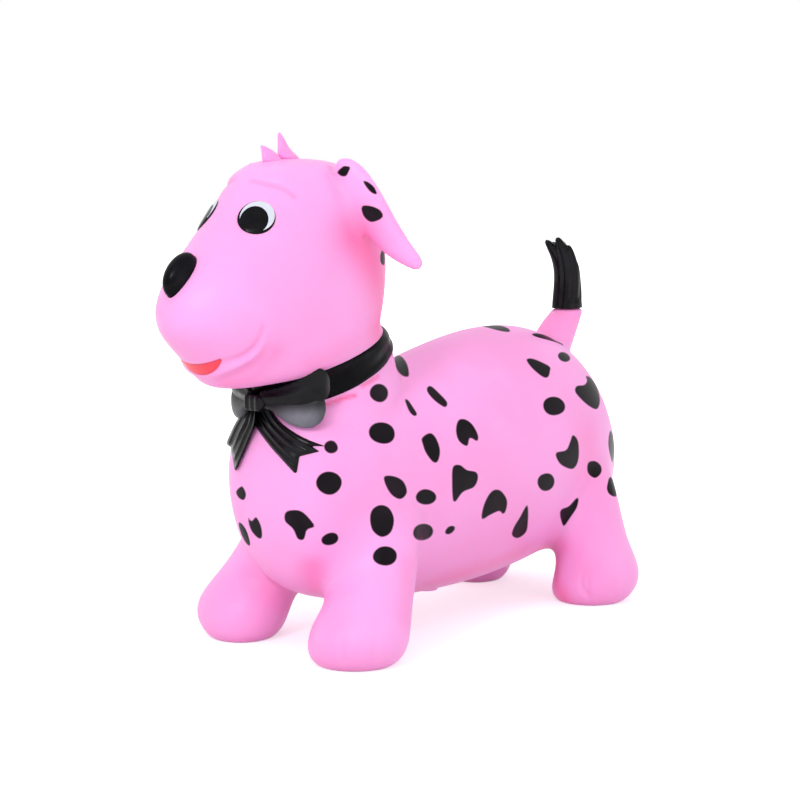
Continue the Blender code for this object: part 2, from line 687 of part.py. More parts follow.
def add_bow(surfaces, cutters):
    """Knot, loops and tails laid on the chest, each cut by what lies under it."""
    def on_chest(x, z):
        start = Vector((x, TORSO_FRONT_Y - TORSO_LENGTH, z))
        hits = [seat_on(surface, start, -FRONT) for surface in surfaces]
        return min((hit for hit in hits if hit[0] is not None), key=lambda hit: hit[0].y)

    place, normal = on_chest(0, BOW_KNOT_Z)
    knot_form = ball("bow_knot_form", place, Vector((BOW_KNOT_HALF_WIDTH, BOW_KNOT_HALF_HEIGHT, BOW_PROUD)),
                     frame_on(normal))
    knot = part("bow_knot", knot_form, BLACK_VINYL)
    for other in cutters:
        boolean(knot, other, "DIFFERENCE")
    cutters = cutters + [copy_of(knot_form, "bow_knot_grown", PARTING)]

    for name, side in (("left", 1), ("right", -1)):
        rings = []
        for reach, drop, height, proud in LOOP_RING_SHARES:
            z = BOW_KNOT_Z - BOW_LOOP_HALF_HEIGHT * drop
            place, normal = on_chest(side * BOW_LOOP_REACH * reach, z)
            place = place + FRONT * (BOW_LOOP_FORWARD * reach)
            up = normal.cross(UP.cross(normal)).normalized()
            rings.append(ring(place, up, normal, BOW_LOOP_HALF_HEIGHT * height, BOW_PROUD * proud,
                              BOW_PROUD * proud))
        form = loft(f"bow_{name}_loop_form", rings, SMALL_LEVELS)
        loop = part(f"bow_{name}_loop", form, BLACK_VINYL)
        for other in cutters:
            boolean(loop, other, "DIFFERENCE")
        loop_grown = copy_of(form, f"bow_{name}_loop_grown", BOW_CLEARANCE)

        rings = []
        for way, width, proud in BOW_TAIL_RING_SHARES:
            x, drop = BOW_TAIL_SPREAD * way, BOW_TAIL_DROP * way
            place, normal = on_chest(side * x, BOW_KNOT_Z - drop)
            along = Vector((side * BOW_TAIL_SPREAD, 0, -BOW_TAIL_DROP)).normalized()
            rings.append(ring(place, normal.cross(along).normalized(), normal, BOW_TAIL_HALF_WIDTH * width,
                              BOW_PROUD * proud, BOW_PROUD * proud))
        form = loft(f"bow_{name}_tail_form", rings, SMALL_LEVELS)
        end = on_chest(side * BOW_TAIL_SPREAD * way, BOW_KNOT_Z - BOW_TAIL_DROP * way)[0]
        outward = Vector((side * BOW_TAIL_DROP, 0, BOW_TAIL_SPREAD)).normalized()
        end = end + outward * (BOW_TAIL_HALF_WIDTH * NOTCH_SHIFT_SHARE)
        half = Vector((BOW_TAIL_HALF_WIDTH, BOW_TAIL_HALF_WIDTH * 2, BOW_TAIL_HALF_WIDTH)) * NOTCH_SHARE
        lean = math.atan2(BOW_TAIL_SPREAD, BOW_TAIL_DROP)
        notch = block(f"bow_{name}_notch", end - half, end + half,
                      Matrix.Rotation(-side * (lean + math.pi / 4), 3, "Y"), end)
        tail = part(f"bow_{name}_tail", form, BLACK_VINYL)
        cut_by(tail, [loop_grown] + cutters + [notch])


def add_cap(name, surface, x, z, half_width, half_height, proud, depth, material, cutters, shift=(0, 0)):
    """A domed feature on the face: an ellipsoid whose middle lies depth below the skin, cut by the head."""
    place, normal = seat_on(surface, Vector((x, HEAD_BACK_Y - HEAD_LENGTH * 2, z)), -FRONT)
    if x == 0:
        # a feature on the centre line faces straight ahead, whichever facet the ray met
        normal.x = 0
    axes = frame_on(normal.normalized())
    centre = place - normal * depth + axes @ Vector((shift[0], shift[1], 0))
    form = ball(name + "_form", centre, Vector((half_width, half_height, proud + depth)), axes)
    cap = part(name, form, material)
    for other in cutters:
        boolean(cap, other, "DIFFERENCE")
    return copy_of(form, name + "_grown", PARTING)


def add_face(surface, head_grown):
    add_cap("nose", surface, 0, NOSE_Z, NOSE_HALF_WIDTH, NOSE_HALF_HEIGHT, NOSE_PROUD, 0, BLACK_VINYL,
            [head_grown])
    add_cap("tongue", surface, 0, TONGUE_Z, TONGUE_HALF_WIDTH, TONGUE_HALF_HEIGHT, TONGUE_PROUD,
            TONGUE_DEPTH, RED_VINYL, [head_grown])
    for name, side in (("left", 1), ("right", -1)):
        white = add_cap(f"{name}_eye_white", surface, side * EYE_X, EYE_Z, EYE_HALF_WIDTH, EYE_HALF_HEIGHT,
                        EYE_PROUD, 0, WHITE_VINYL, [head_grown])
        add_cap(f"{name}_eye_pupil", surface, side * EYE_X, EYE_Z, PUPIL_RADIUS, PUPIL_RADIUS, PUPIL_PROUD, 0,
                BLACK_VINYL, [head_grown, white], shift=(-side * PUPIL_INWARD, -PUPIL_DROP))


def add_hair(surface, head_grown):
    """Two moulded spikes that lean forward on the crown."""
    for name, y, height in (("hair_back", HAIR_BACK_Y, HAIR_BACK_HEIGHT),
                            ("hair_front", HAIR_FRONT_Y, HAIR_FRONT_HEIGHT)):
        place, _ = seat_on(surface, Vector((0, y, HEAD_TOP_Z * 2)), -UP)
        rings = []
        for way, sweep, size in SPIKE_RING_SHARES:
            centre = place + UP * (height * way) + FRONT * (height * HAIR_SWEEP_SHARE * sweep)
            rings.append(round_ring(centre, SIDE, FRONT, HAIR_RADIUS * size))
        spike = part(name, loft(name + "_form", rings, 0), PINK_VINYL)
        boolean(spike, head_grown, "DIFFERENCE")


def add_valve(surface, torso_skin):
    """A seat in the belly skin with a recess and a bore, and the plug pushed into it from below."""
    belly, _ = seat_on(surface, Vector((0, VALVE_Y, 0)), UP)
    ceiling = VALVE_RECESS_DEPTH
    seat_profile = (
        (VALVE_BORE_RADIUS, VALVE_SEAT_LENGTH),
        (VALVE_SEAT_RADIUS, VALVE_SEAT_LENGTH),
        (VALVE_SEAT_RADIUS, 0),
        (VALVE_RECESS_RADIUS, 0),
        (VALVE_RECESS_RADIUS, ceiling),
        (VALVE_BORE_RADIUS, ceiling),
    )
    turned("valve_seat", seat_profile, PINK_VINYL, belly)
    stem = VALVE_BORE_RADIUS - PLUG_CLEARANCE
    flange = ceiling - PARTING
    plug_profile = (
        (0, ceiling + PLUG_LENGTH),
        (stem - PLUG_CHAMFER, ceiling + PLUG_LENGTH),
        (stem, ceiling + PLUG_LENGTH - PLUG_CHAMFER),
        (stem, flange),
        (PLUG_FLANGE_RADIUS, flange),
        (PLUG_FLANGE_RADIUS, flange - PLUG_FLANGE_THICKNESS),
        (0, flange - PLUG_FLANGE_THICKNESS),
    )
    turned("valve_plug", plug_profile, PALE_PLUG, belly)
    hole = cylinder("valve_hole", belly, VALVE_SEAT_RADIUS + PARTING, VALVE_SEAT_LENGTH)
    boolean(torso_skin, hole, "DIFFERENCE")


def main():
    torso = torso_form()
    head = head_form()
    torso_grown = copy_of(torso, "torso_grown", PARTING)
    torso_hollow = copy_of(torso, "torso_hollow", -WALL, INNER_LEVELS)
    head_grown = copy_of(head, "head_grown", PARTING)
    head_hollow = copy_of(head, "head_hollow", -WALL, INNER_LEVELS)

    neck = Vector((0, NECK_Y, NECK_Z))
    span = Vector((TORSO_HALF_WIDTH * 2, TORSO_LENGTH, HEAD_TOP_Z))
    turn = Matrix.Rotation(-NECK_TILT, 3, "X")
    below_neck = block("below_neck", neck - span, neck + Vector((span.x, span.y, PARTING / 2)), turn, neck)
    above_neck = block("above_neck", neck - Vector((span.x, span.y, PARTING / 2)), neck + span, turn, neck)
    neck_stub = copy_of(head, "neck_stub")
    boolean(neck_stub, above_neck, "DIFFERENCE")

    torso_skin = part("torso_skin", torso, PINK_VINYL)
    boolean(torso_skin, neck_stub, "UNION")
    boolean(torso_skin, torso_hollow, "DIFFERENCE")
    boolean(torso_skin, head_hollow, "DIFFERENCE")

    head_skin = part("head_skin", head, PINK_VINYL)
    boolean(head_skin, below_neck, "DIFFERENCE")
    boolean(head_skin, head_hollow, "DIFFERENCE")

    torso_surface = surface_of(torso)
    head_surface = surface_of(head)
    neck_surface = surface_of(neck_stub)
    add_limbs(torso_grown, torso_skin)
    add_ears(head, head_skin)
    add_tail(torso_skin)
    collar_grown = add_collar(torso_grown, head_grown)
    add_bow((torso_surface, neck_surface), [torso_grown, head_grown, collar_grown])
    add_face(head_surface, head_grown)
    add_hair(head_surface, head_grown)
    add_valve(torso_surface, torso_skin)


main()
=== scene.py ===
"""Looks of the bouncy ride-on dog: one smooth vinyl skin with painted spots, bow, collar, eyes, nose, tuft.

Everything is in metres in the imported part's frame: +Z up, the dog faces -Y and its left side is at +X.
Pixels are places in the photograph's frame, as the camera below sees them.
"""
import math
import random

import bmesh
import bpy
import numpy as np
from mathutils import Matrix, Vector
from mathutils.bvhtree import BVHTree


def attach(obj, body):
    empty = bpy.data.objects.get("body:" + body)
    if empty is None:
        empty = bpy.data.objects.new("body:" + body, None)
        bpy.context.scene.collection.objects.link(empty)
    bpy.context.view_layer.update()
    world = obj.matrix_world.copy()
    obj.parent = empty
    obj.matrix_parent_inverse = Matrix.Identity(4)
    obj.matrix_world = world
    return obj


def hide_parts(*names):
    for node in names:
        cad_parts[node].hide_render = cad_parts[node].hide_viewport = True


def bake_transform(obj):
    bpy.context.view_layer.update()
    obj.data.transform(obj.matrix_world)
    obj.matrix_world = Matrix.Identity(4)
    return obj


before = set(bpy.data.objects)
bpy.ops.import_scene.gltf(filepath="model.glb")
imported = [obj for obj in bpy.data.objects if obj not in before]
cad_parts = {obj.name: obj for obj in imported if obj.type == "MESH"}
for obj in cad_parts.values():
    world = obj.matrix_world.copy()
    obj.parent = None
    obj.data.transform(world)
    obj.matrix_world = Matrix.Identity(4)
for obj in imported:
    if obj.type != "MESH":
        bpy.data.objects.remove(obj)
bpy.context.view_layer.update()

SIDE = Vector((1, 0, 0))
FRONT = Vector((0, -1, 0))
UP = Vector((0, 0, 1))


def linked(name, data):
    """A new object in the scene."""
    obj = bpy.data.objects.new(name, data)
    bpy.context.scene.collection.objects.link(obj)
    return obj


def aim(obj, place, heading):
    """Puts a camera or a lamp at a place, looking along a heading."""
    obj.location = place
    obj.rotation_mode = "QUATERNION"
    obj.rotation_quaternion = heading.to_track_quat("-Z", "Y")


# Camera: the photograph's viewing angle
IMAGE_SIZE = 800
FOCAL_PIXELS = 1928.0
CAMERA_AZIMUTH = math.radians(43.383)
CAMERA_ELEVATION = math.radians(7.603)
CAMERA_DISTANCE = 2.0
CAMERA_TARGET = Vector((0.0, 0.003, 0.235))
CAMERA_CLIP = (0.05, 50)
SENSOR_WIDTH = 36.0
PIXEL = CAMERA_DISTANCE / FOCAL_PIXELS

camera_back = Vector((math.sin(CAMERA_AZIMUTH) * math.cos(CAMERA_ELEVATION),
                      -math.cos(CAMERA_AZIMUTH) * math.cos(CAMERA_ELEVATION),
                      math.sin(CAMERA_ELEVATION)))
camera_right = Vector((math.cos(CAMERA_AZIMUTH), math.sin(CAMERA_AZIMUTH), 0))
camera_up = camera_back.cross(camera_right)
camera_place = CAMERA_TARGET + camera_back * CAMERA_DISTANCE
camera_data = bpy.data.cameras.new("camera")
camera_data.sensor_width = SENSOR_WIDTH
camera_data.lens = FOCAL_PIXELS / IMAGE_SIZE * SENSOR_WIDTH
camera_data.clip_start, camera_data.clip_end = CAMERA_CLIP
camera = linked("camera", camera_data)
aim(camera, camera_place, -camera_back)
bpy.context.scene.camera = camera


def pixel_ray(u, v):
    """Direction from the camera through a pixel of the photograph's frame."""
    half = IMAGE_SIZE / 2
    return (camera_right * ((u - half) / FOCAL_PIXELS) + camera_up * ((half - v) / FOCAL_PIXELS)
            - camera_back).normalized()


def pixels_of(points):
    """Pixel coordinates of an array of points."""
    offset = points - np.array(camera_place)
    depth = -(offset @ np.array(camera_back))
    half = IMAGE_SIZE / 2
    u = half + FOCAL_PIXELS * (offset @ np.array(camera_right)) / depth
    v = half - FOCAL_PIXELS * (offset @ np.array(camera_up)) / depth
    return np.stack([u, v], -1)


# Sizes of the forms, fitted closer to the photograph than the part's source
# the columns of each table of shares are the values that its rings function below takes apart
RING_POINTS = 8
TORSO_FRONT_Y = -0.1966
TORSO_LENGTH = 0.5052
TORSO_HALF_WIDTH = 0.100
BELLY_Z = 0.026
TORSO_HEIGHT = 0.280
TORSO_RING_SHARES = (
    (0.000, 0.42, 0.30, 0.66, 0.54),
    (0.050, 0.772, 0.13, 0.85, 0.60),
    (0.180, 0.97, 0.05, 0.820, 0.62),
    (0.380, 1.00, 0.014, 0.880, 0.54),
    (0.600, 1.00, 0.010, 0.998, 0.47),
    (0.810, 0.96, 0.074, 0.988, 0.46),
    (0.950, 0.748, 0.12, 0.816, 0.46),
    (1.000, 0.42, 0.21, 0.54, 0.48),
)
NECK_Y = -0.1120
NECK_Z = 0.284
NECK_HALF_WIDTH = 0.067
NECK_HALF_LENGTH = 0.080
NECK_TILT = math.radians(-12)
COLLAR_HEIGHT = 0.025
HEAD_TOP_Z = 0.487
HEAD_BACK_Y = -0.0530
HEAD_LENGTH = 0.258
HEAD_HALF_WIDTH = 0.083
HEAD_WIDEST_Y = -0.1370
HEAD_RING_SHARES = (
    (0.090, 0.90, 0.94, 0.712, 1.58, 1.00),
    (0.210, 0.96, 0.965, 0.805, 1.06, 1.00),
    (0.370, 1.01, 0.985, 1.044, 0.85, 1.00),
    (0.540, 1.01, 0.975, 0.962, 0.65, 0.95),
    (0.720, 0.95, 0.88, 0.632, 0.40, 0.845),
    (0.880, 0.78, 0.66, 0.455, 0.00, 0.93),
    (0.995, 0.46, 0.33, 0.335, 0.00, 1.00),
)
NECK_RING_SHARES = (
    (-3.00, 1.08, 1.03),
    (-1.80, 1.07, 1.04),
    (-0.70, 1.00, 0.98),
    (0.40, 0.98, 0.98),
)
THROAT_SHARE = 0.95
FRONT_TRACK = 0.166
REAR_TRACK = 0.178
FRONT_FOOT_Y = -0.1435
REAR_FOOT_Y = 0.2235
HIP_TRACK = 0.128
FRONT_HIP_Y = -0.0870
REAR_HIP_Y = 0.2220
HIP_Z = 0.160
FOOT_HALF_LENGTH = 0.0500
FOOT_HALF_WIDTH = 0.0500
REAR_LIMB_SHARE = 0.955
LIMB_RING_SHARES = (
    (1.000, 0.00, 0.66, 0.66, 0.0, 0.0),
    (0.780, 0.08, 0.83, 0.83, 0.0, 0.0020),
    (0.580, 0.25, 0.84, 0.82, 0.0005, 0.0035),
    (0.390, 0.58, 0.93, 0.83, 0.0012, 0.0042),
    (0.220, 0.99, 1.02, 0.98, 0.0020, 0.0034),
    (0.060, 1.02, 0.89, 1.00, -0.0015, -0.0045),
    (-0.040, 1.00, 0.58, 0.65, -0.0040, -0.0090),
)
EAR_ROOT = Vector((0.066, -0.1410, 0.448))
EAR_TIP = Vector((0.1342, -0.1128, 0.3853))
FAR_EAR_DROP = 0.006
EAR_ROOT_HALF_WIDTH = 0.033
EAR_HALF_THICKNESS = 0.0075
EAR_LIFT = 0.0085
EAR_LEAN_SHARE = 0.30
EAR_RING_SHARES = (
    (-0.12, 0.00, 1.08, 1.00),
    (0.14, 1.46, 1.20, 1.05),
    (0.42, 0.76, 0.83, 1.00),
    (0.70, -0.04, 0.45, 0.90),
    (0.95, 0.02, 0.27, 0.78),
    (1.04, 0.10, 0.14, 0.40),
)
TAIL_ROOT = Vector((0.0, 0.2580, 0.283))
TAIL_STEM_RADIUS = 0.0186
TAIL_RING_SHARES = ((-0.60, 1.32), (-0.10, 1.17), (0.40, 1.06), (0.75, 0.98), (0.98, 0.96), (1.05, 0.80))
TUFT_BASE = Vector((0.0, 0.2810, 0.3130))

# How finely the skin is made
FORM_LEVELS = 4
VOXEL = 0.0024
SETTLE_PASSES = 6
FORM_REACH = 0.2
RING_SWELL = 6 / (4 + 2 * math.cos(2 * math.pi / RING_POINTS))


# Small tools
def turns(count):
    """Evenly spaced angles round a circle."""
    return [2 * math.pi * i / count for i in range(count)]


def smoothstep(low, high, x):
    t = np.clip((x - low) / (high - low), 0, 1)
    return t * t * (3 - 2 * t)


def mirrored(vector, side):
    return Vector((vector.x * side, vector.y, vector.z))


def catmull(p0, p1, p2, p3, t):
    """A place on the smooth curve from p1 to p2."""
    return 0.5 * (2 * p1 + (p2 - p0) * t + (2 * p0 - 5 * p1 + 4 * p2 - p3) * t ** 2
                  + (3 * p1 - p0 - 3 * p2 + p3) * t ** 3)


def smooth_path(marks, steps, closed=False):
    """A smooth line through the marks."""
    marks = np.array([tuple(mark) for mark in marks], float)
    count = len(marks)
    line = []
    for i in range(count if closed else count - 1):
        near = [marks[(i + k) % count if closed else min(max(i + k, 0), count - 1)] for k in (-1, 0, 1, 2)]
        line += [catmull(*near, step / steps) for step in range(steps)]
    if not closed:
        line.append(marks[-1])
    return np.array(line)


def blend_rows(rows, share):
    """Values between a table's evenly spaced rows, smoothly."""
    rows = np.array(rows, float)
    at = share * (len(rows) - 1)
    i = min(int(at), len(rows) - 2)
    near = [rows[min(max(i + k, 0), len(rows) - 1)] for k in (-1, 0, 1, 2)]
    return catmull(*near, at - i)


def ring(centre, side, up, half_width, up_reach, down_reach=None):
    """A ring of a cage; it is wider than its sizes say, because subdivision draws it in."""
    corners = []
    for angle in turns(RING_POINTS):
        reach = up_reach if down_reach is None or math.sin(angle) > 0 else down_reach
        corners.append(centre + side * (half_width * RING_SWELL * math.cos(angle))
                       + up * (reach * RING_SWELL * math.sin(angle)))
    return corners


def mesh_of(bm, name):
    """A bmesh as a mesh; the bmesh goes."""
    mesh = bpy.data.meshes.new(name)
    bm.to_mesh(mesh)
    bm.free()
    return mesh


def subdivide(obj, levels):
    modifier = obj.modifiers.new("soft", "SUBSURF")
    modifier.levels = levels
    modifier.render_levels = levels


def evaluated_mesh(obj):
    """The object's mesh with its modifiers applied, as a new mesh; the object goes."""
    bpy.context.view_layer.update()
    graph = bpy.context.evaluated_depsgraph_get()
    mesh = bpy.data.meshes.new_from_object(obj.evaluated_get(graph))
    mesh.transform(obj.matrix_world)
    bpy.data.objects.remove(obj)
    return mesh


def finished(mesh, material):
    """The mesh, shaded smooth and with its material."""
    mesh.polygons.foreach_set("use_smooth", [True] * len(mesh.polygons))
    mesh.materials.append(material)
    return mesh


def add_values(mesh, name, values):
    """A value per vertex, which the materials read."""
    mesh.attributes.new(name, "FLOAT", "POINT").data.foreach_set("value", values.astype(np.float32))


def loft_mesh(name, rings, levels):
    """A closed cage of quads through the rings, subdivided and applied."""
    bm = bmesh.new()
    loops = [[bm.verts.new(corner) for corner in corners] for corners in rings]
    bm.faces.new(loops[0])
    bm.faces.new(loops[-1])
    for first, second in zip(loops, loops[1:]):
        for i in range(len(first)):
            j = (i + 1) % len(first)
            bm.faces.new((first[i], first[j], second[j], second[i]))
    bmesh.ops.recalc_face_normals(bm, faces=bm.faces)
    obj = linked(name, mesh_of(bm, name))
    subdivide(obj, levels)
    return evaluated_mesh(obj)


def union_mesh(meshes, voxel, settle=0):
    """One closed mesh round the given ones, made of voxels and settled by some smoothing passes."""
    bm = bmesh.new()
    for mesh in meshes:
        bm.from_mesh(mesh)
    obj = linked("union", mesh_of(bm, "union"))
    modifier = obj.modifiers.new("voxels", "REMESH")
    modifier.mode = "VOXEL"
    modifier.voxel_size = voxel
    if settle:
        modifier = obj.modifiers.new("settle", "SMOOTH")
        modifier.factor = 0.6
        modifier.iterations = settle
    return evaluated_mesh(obj)


def coordinates(mesh):
    co = np.empty(len(mesh.vertices) * 3, np.float32)
    mesh.vertices.foreach_get("co", co)
    return co.reshape(-1, 3).astype(float)



def quads_of(mesh):
    """Faces as an array with 4 corners each; a triangle repeats its last corner."""
    corners = [list(polygon.vertices) for polygon in mesh.polygons]
    return np.array([face if len(face) == 4 else face + face[-1:] for face in corners])


def polygons_of(quads):
    """Faces as tuples, without a triangle's repeated corner."""
    return [tuple(face) if face[2] != face[3] else tuple(face[:3]) for face in quads.tolist()]


def distances(mesh, places):
    """Distance from each place to the mesh, up to FORM_REACH."""
    tree = BVHTree.FromPolygons(coordinates(mesh).tolist(), [tuple(p.vertices) for p in mesh.polygons])
    found = [tree.find_nearest(place, FORM_REACH)[3] for place in places]
    return np.array([FORM_REACH if gap is None else gap for gap in found])


# Forms
def torso_rings():
    rings = []
    for along, width, under, back, widest in TORSO_RING_SHARES:
        bottom = BELLY_Z + TORSO_HEIGHT * under
        top = BELLY_Z + TORSO_HEIGHT * back
        waist = bottom + (top - bottom) * widest
        centre = Vector((0, TORSO_FRONT_Y + TORSO_LENGTH * along, waist))
        rings.append(ring(centre, SIDE, UP, TORSO_HALF_WIDTH * width, top - waist, waist - bottom))
    return rings


def head_rings():
    neck = Vector((0, NECK_Y, NECK_Z))
    tilt = Matrix.Rotation(-NECK_TILT, 3, "X")
    rings = []
    for rise, width, length in NECK_RING_SHARES:
        centre = neck + tilt @ UP * (COLLAR_HEIGHT * rise)
        rings.append(ring(centre, SIDE, tilt @ FRONT, NECK_HALF_WIDTH * width,
                          NECK_HALF_LENGTH * length * THROAT_SHARE, NECK_HALF_LENGTH * length))
    forward_reach = HEAD_LENGTH - (HEAD_BACK_Y - HEAD_WIDEST_Y)
    back_reach = HEAD_BACK_Y - HEAD_WIDEST_Y
    for rise, width, back, front, tip, pinch in HEAD_RING_SHARES:
        tilt = Matrix.Rotation(-NECK_TILT * tip, 3, "X")
        centre = Vector((0, HEAD_WIDEST_Y, NECK_Z + (HEAD_TOP_Z - NECK_Z) * rise))
        corners = ring(centre, SIDE, tilt @ FRONT, HEAD_HALF_WIDTH * width, forward_reach * front,
                       back_reach * back)
        # the face narrows towards the front like a wedge
        for corner in corners[1:RING_POINTS // 2]:
            corner.x *= pinch
        rings.append(corners)
    return rings


def limb_rings(side, hip, foot, share):
    toes = Vector((side, -1, 0)).normalized()
    across = Vector((side, 1, 0)).normalized()
    rings = []
    for height, way, length, width, front_shift, rear_shift in LIMB_RING_SHARES:
        centre = hip.lerp(foot, way) + across * (rear_shift if hip.y > 0 else front_shift)
        centre.z = HIP_Z * height
        rings.append(ring(centre, toes, across, FOOT_HALF_LENGTH * length * share,
                          FOOT_HALF_WIDTH * width * share))
    return rings


def ear_axes(side):
    root = mirrored(EAR_ROOT, side)
    tip = mirrored(EAR_TIP, side)
    out = (tip - root).normalized()
    chord = Vector((side * EAR_LEAN_SHARE, EAR_LEAN_SHARE / 2, -1)).normalized()
    through = out.cross(chord).normalized()
    return root, tip, out, chord, through


def ear_rings(side):
    root, tip, out, chord, through = ear_axes(side)
    lift = through.cross(out).normalized()
    lift = lift if lift.z > 0 else -lift
    rings = []
    for i, (way, rise, width, thickness) in enumerate(EAR_RING_SHARES):
        centre = root.lerp(tip, way) + lift * (EAR_LIFT * rise)
        if side < 0:
            centre = centre - UP * FAR_EAR_DROP
        across = chord.lerp(-lift, i / (len(EAR_RING_SHARES) - 1)).normalized()
        rings.append(ring(centre, across, through, EAR_ROOT_HALF_WIDTH * width,
                          EAR_HALF_THICKNESS * thickness))
    return rings


def tail_rings():
    rise = (TUFT_BASE - TAIL_ROOT).normalized()
    back = rise.cross(SIDE).normalized()
    rings = []
    for way, size in TAIL_RING_SHARES:
        # the stem turns upright towards its end
        backward = back.lerp(-FRONT, smoothstep(0.2, 1.0, way)).normalized()
        radius = TAIL_STEM_RADIUS * size
        rings.append(ring(TAIL_ROOT.lerp(TUFT_BASE, way), SIDE, backward, radius, radius))
    return rings


LIMBS = []
for end, hip_y, foot_y, track, share in (("front", FRONT_HIP_Y, FRONT_FOOT_Y, FRONT_TRACK, 1.0),
                                         ("rear", REAR_HIP_Y, REAR_FOOT_Y, REAR_TRACK, REAR_LIMB_SHARE)):
    for hand, side in (("left", 1), ("right", -1)):
        hip = Vector((side * HIP_TRACK / 2, hip_y, HIP_Z))
        foot = Vector((side * track / 2, foot_y, 0))
        LIMBS.append((f"{end}_{hand}", side, hip, foot, share))

cages = {"torso": torso_rings(), "head": head_rings()}
for limb, side, hip, foot, share in LIMBS:
    cages[limb] = limb_rings(side, hip, foot, share)
cages.update(left_ear=ear_rings(1), right_ear=ear_rings(-1), tail=tail_rings())
forms = {name: loft_mesh(name, rings, FORM_LEVELS if name in ("torso", "head") else FORM_LEVELS - 1)
         for name, rings in cages.items()}

# One skin: the union of the forms as voxels, with soft fillets where they meet
skin_mesh = union_mesh(forms.values(), VOXEL)
points = coordinates(skin_mesh)
faces = quads_of(skin_mesh)
edges = np.empty(len(skin_mesh.edges) * 2, int)
skin_mesh.edges.foreach_get("vertices", edges)
edges = edges.reshape(-1, 2)
valence = np.bincount(edges.ravel(), minlength=len(points)).astype(float)
everywhere = np.ones(len(points))
form_distance = {name: distances(mesh, points) for name, mesh in forms.items()}


def relax(values, weight, passes, factor=0.6):
    """Moves each vertex's row of values towards the mean of its neighbours', some passes long."""
    for _ in range(passes):
        mean = np.empty_like(values)
        for k, column in enumerate(values.T):
            mean[:, k] = (np.bincount(edges[:, 0], column[edges[:, 1]], len(values))
                          + np.bincount(edges[:, 1], column[edges[:, 0]], len(values))) / valence
        values = values + (mean - values) * (weight * factor)[:, None]
    return values


def junction(first, second, reach):
    """1 where two forms meet, fading to 0 at reach from either."""
    away = np.maximum(form_distance[first], form_distance[second])
    return 1 - smoothstep(0.2 * reach, reach, away)


points = relax(points, everywhere, SETTLE_PASSES, 0.5)
# how wide each meeting is softened, and how many smoothing passes it gets
FILLETS = [("torso", limb, 0.042, 150) for limb, *_ in LIMBS]
FILLETS += [("torso", "head", 0.010, 24), ("torso", "tail", 0.014, 40),
            ("head", "left_ear", 0.011, 18), ("head", "right_ear", 0.011, 18)]
for first, second, reach, passes in FILLETS:
    points = relax(points, junction(first, second, reach), passes)


def vertex_normals(co):
    a, b, c, d = (co[faces[:, k]] for k in range(4))
    face_normal = np.cross(c - a, d - b)
    triangle = faces[:, 2] == faces[:, 3]
    face_normal[triangle] = np.cross(b[triangle] - a[triangle], c[triangle] - a[triangle])
    normals = np.zeros_like(co)
    for k in range(4):
        for axis in range(3):
            normals[:, axis] += np.bincount(faces[:, k], face_normal[:, axis], len(co))
    return normals / np.maximum(np.linalg.norm(normals, axis=1), 1e-12)[:, None]


def skin_tree():
    return BVHTree.FromPolygons(points.tolist(), polygons_of(faces))


normals = vertex_normals(points)
surface = skin_tree()
FAR = 10.0


def cast(start, heading, reach=FAR):
    """Where a ray meets the skin, with the skin's normal there, or None."""
    place, normal, _, _ = surface.ray_cast(start, heading, reach)
    return None if place is None else (place, normal)


def on_skin(u, v):
    """The place on the skin seen at a pixel, with its normal, or None beside it."""
    return cast(camera_place, pixel_ray(u, v))


def skin_lines(marks, steps):
    """Smooth lines on the skin through places seen at pixels: the seen one and its mirror image."""
    hits = [on_skin(u, v) for u, v in marks]
    places = [hit[0] for hit in hits if hit]
    return [smooth_path([mirrored(place, side) for place in places], steps) for side in (1, -1)]


def path_distance(co, line):
    """Distance of points to a polyline, and how far along it (0 to 1) the nearest place is."""
    best = np.full(len(co), 1e9)
    along = np.zeros(len(co))
    lengths = np.linalg.norm(np.diff(line, axis=0), axis=1)
    total = lengths.sum()
    start = 0.0
    for a, b, length in zip(line, line[1:], lengths):
        if length > 0:
            t = np.clip((co - a) @ (b - a) / length ** 2, 0, 1)
            gap = np.linalg.norm(co - (a + t[:, None] * (b - a)), axis=1)
            nearer = gap < best
            best[nearer] = gap[nearer]
            along[nearer] = (start + t[nearer] * length) / total
        start += length
    return best, along



# Lines on the skin, in pixels
SMILE = ((222, 361), (233, 359), (244, 355), (253, 348), (260, 338), (263, 326))
LIP = ((197, 382), (211, 377), (225, 371), (240, 364), (254, 355), (262, 345), (266, 334))
BROW = ((252, 181), (265, 184), (278, 187), (287, 191), (294, 197))
NECK_FOLD_FRONT = ((322, 405.5), (334, 401.5), (345, 398), (355, 395.5))
NECK_FOLD_SIDE = ((362, 386), (370, 381.5), (378, 376.5))

# Creases and ridges pressed into the skin: line, half width, depth, which is negative for a ridge
CREASES = (
    (SMILE, 0.0026, 0.0022),
    (LIP, 0.0032, -0.0026),
    (((212, 384), (228, 378), (244, 371), (258, 363), (267, 352)), 0.0050, 0.0016),
    (BROW, 0.0030, 0.0022),
    (((248, 174), (264, 177), (280, 180), (292, 185)), 0.0070, -0.0012),
    # dimple in front of the ear, and the fold behind the cheek under it
    (((328, 170), (331, 176), (335, 184)), 0.0030, 0.0018),
    (((352, 232), (361, 248), (371, 268)), 0.0110, 0.0018),
    (NECK_FOLD_FRONT, 0.0026, 0.0034),
    (NECK_FOLD_SIDE, 0.0026, 0.0020),
    (((386, 354), (390, 361), (394, 370)), 0.0030, 0.0010),
    # toe of the rear left foot
    (((583, 573), (581, 582), (583, 591), (590, 597)), 0.0030, 0.0020),
)
# toes: two shallow grooves over the front of each foot, by reach from the foot's middle and height
TOE_ANGLES = (-0.33, 0.33)
TOE_GROOVE = ((0.0485, 0.004), (0.0515, 0.014), (0.0500, 0.026), (0.0440, 0.038))
TOE_HALF_WIDTH = 0.0034
TOE_DEPTH = 0.0016
PUSH_LIMITS = (-0.004, 0.006)
push = np.zeros(len(points))


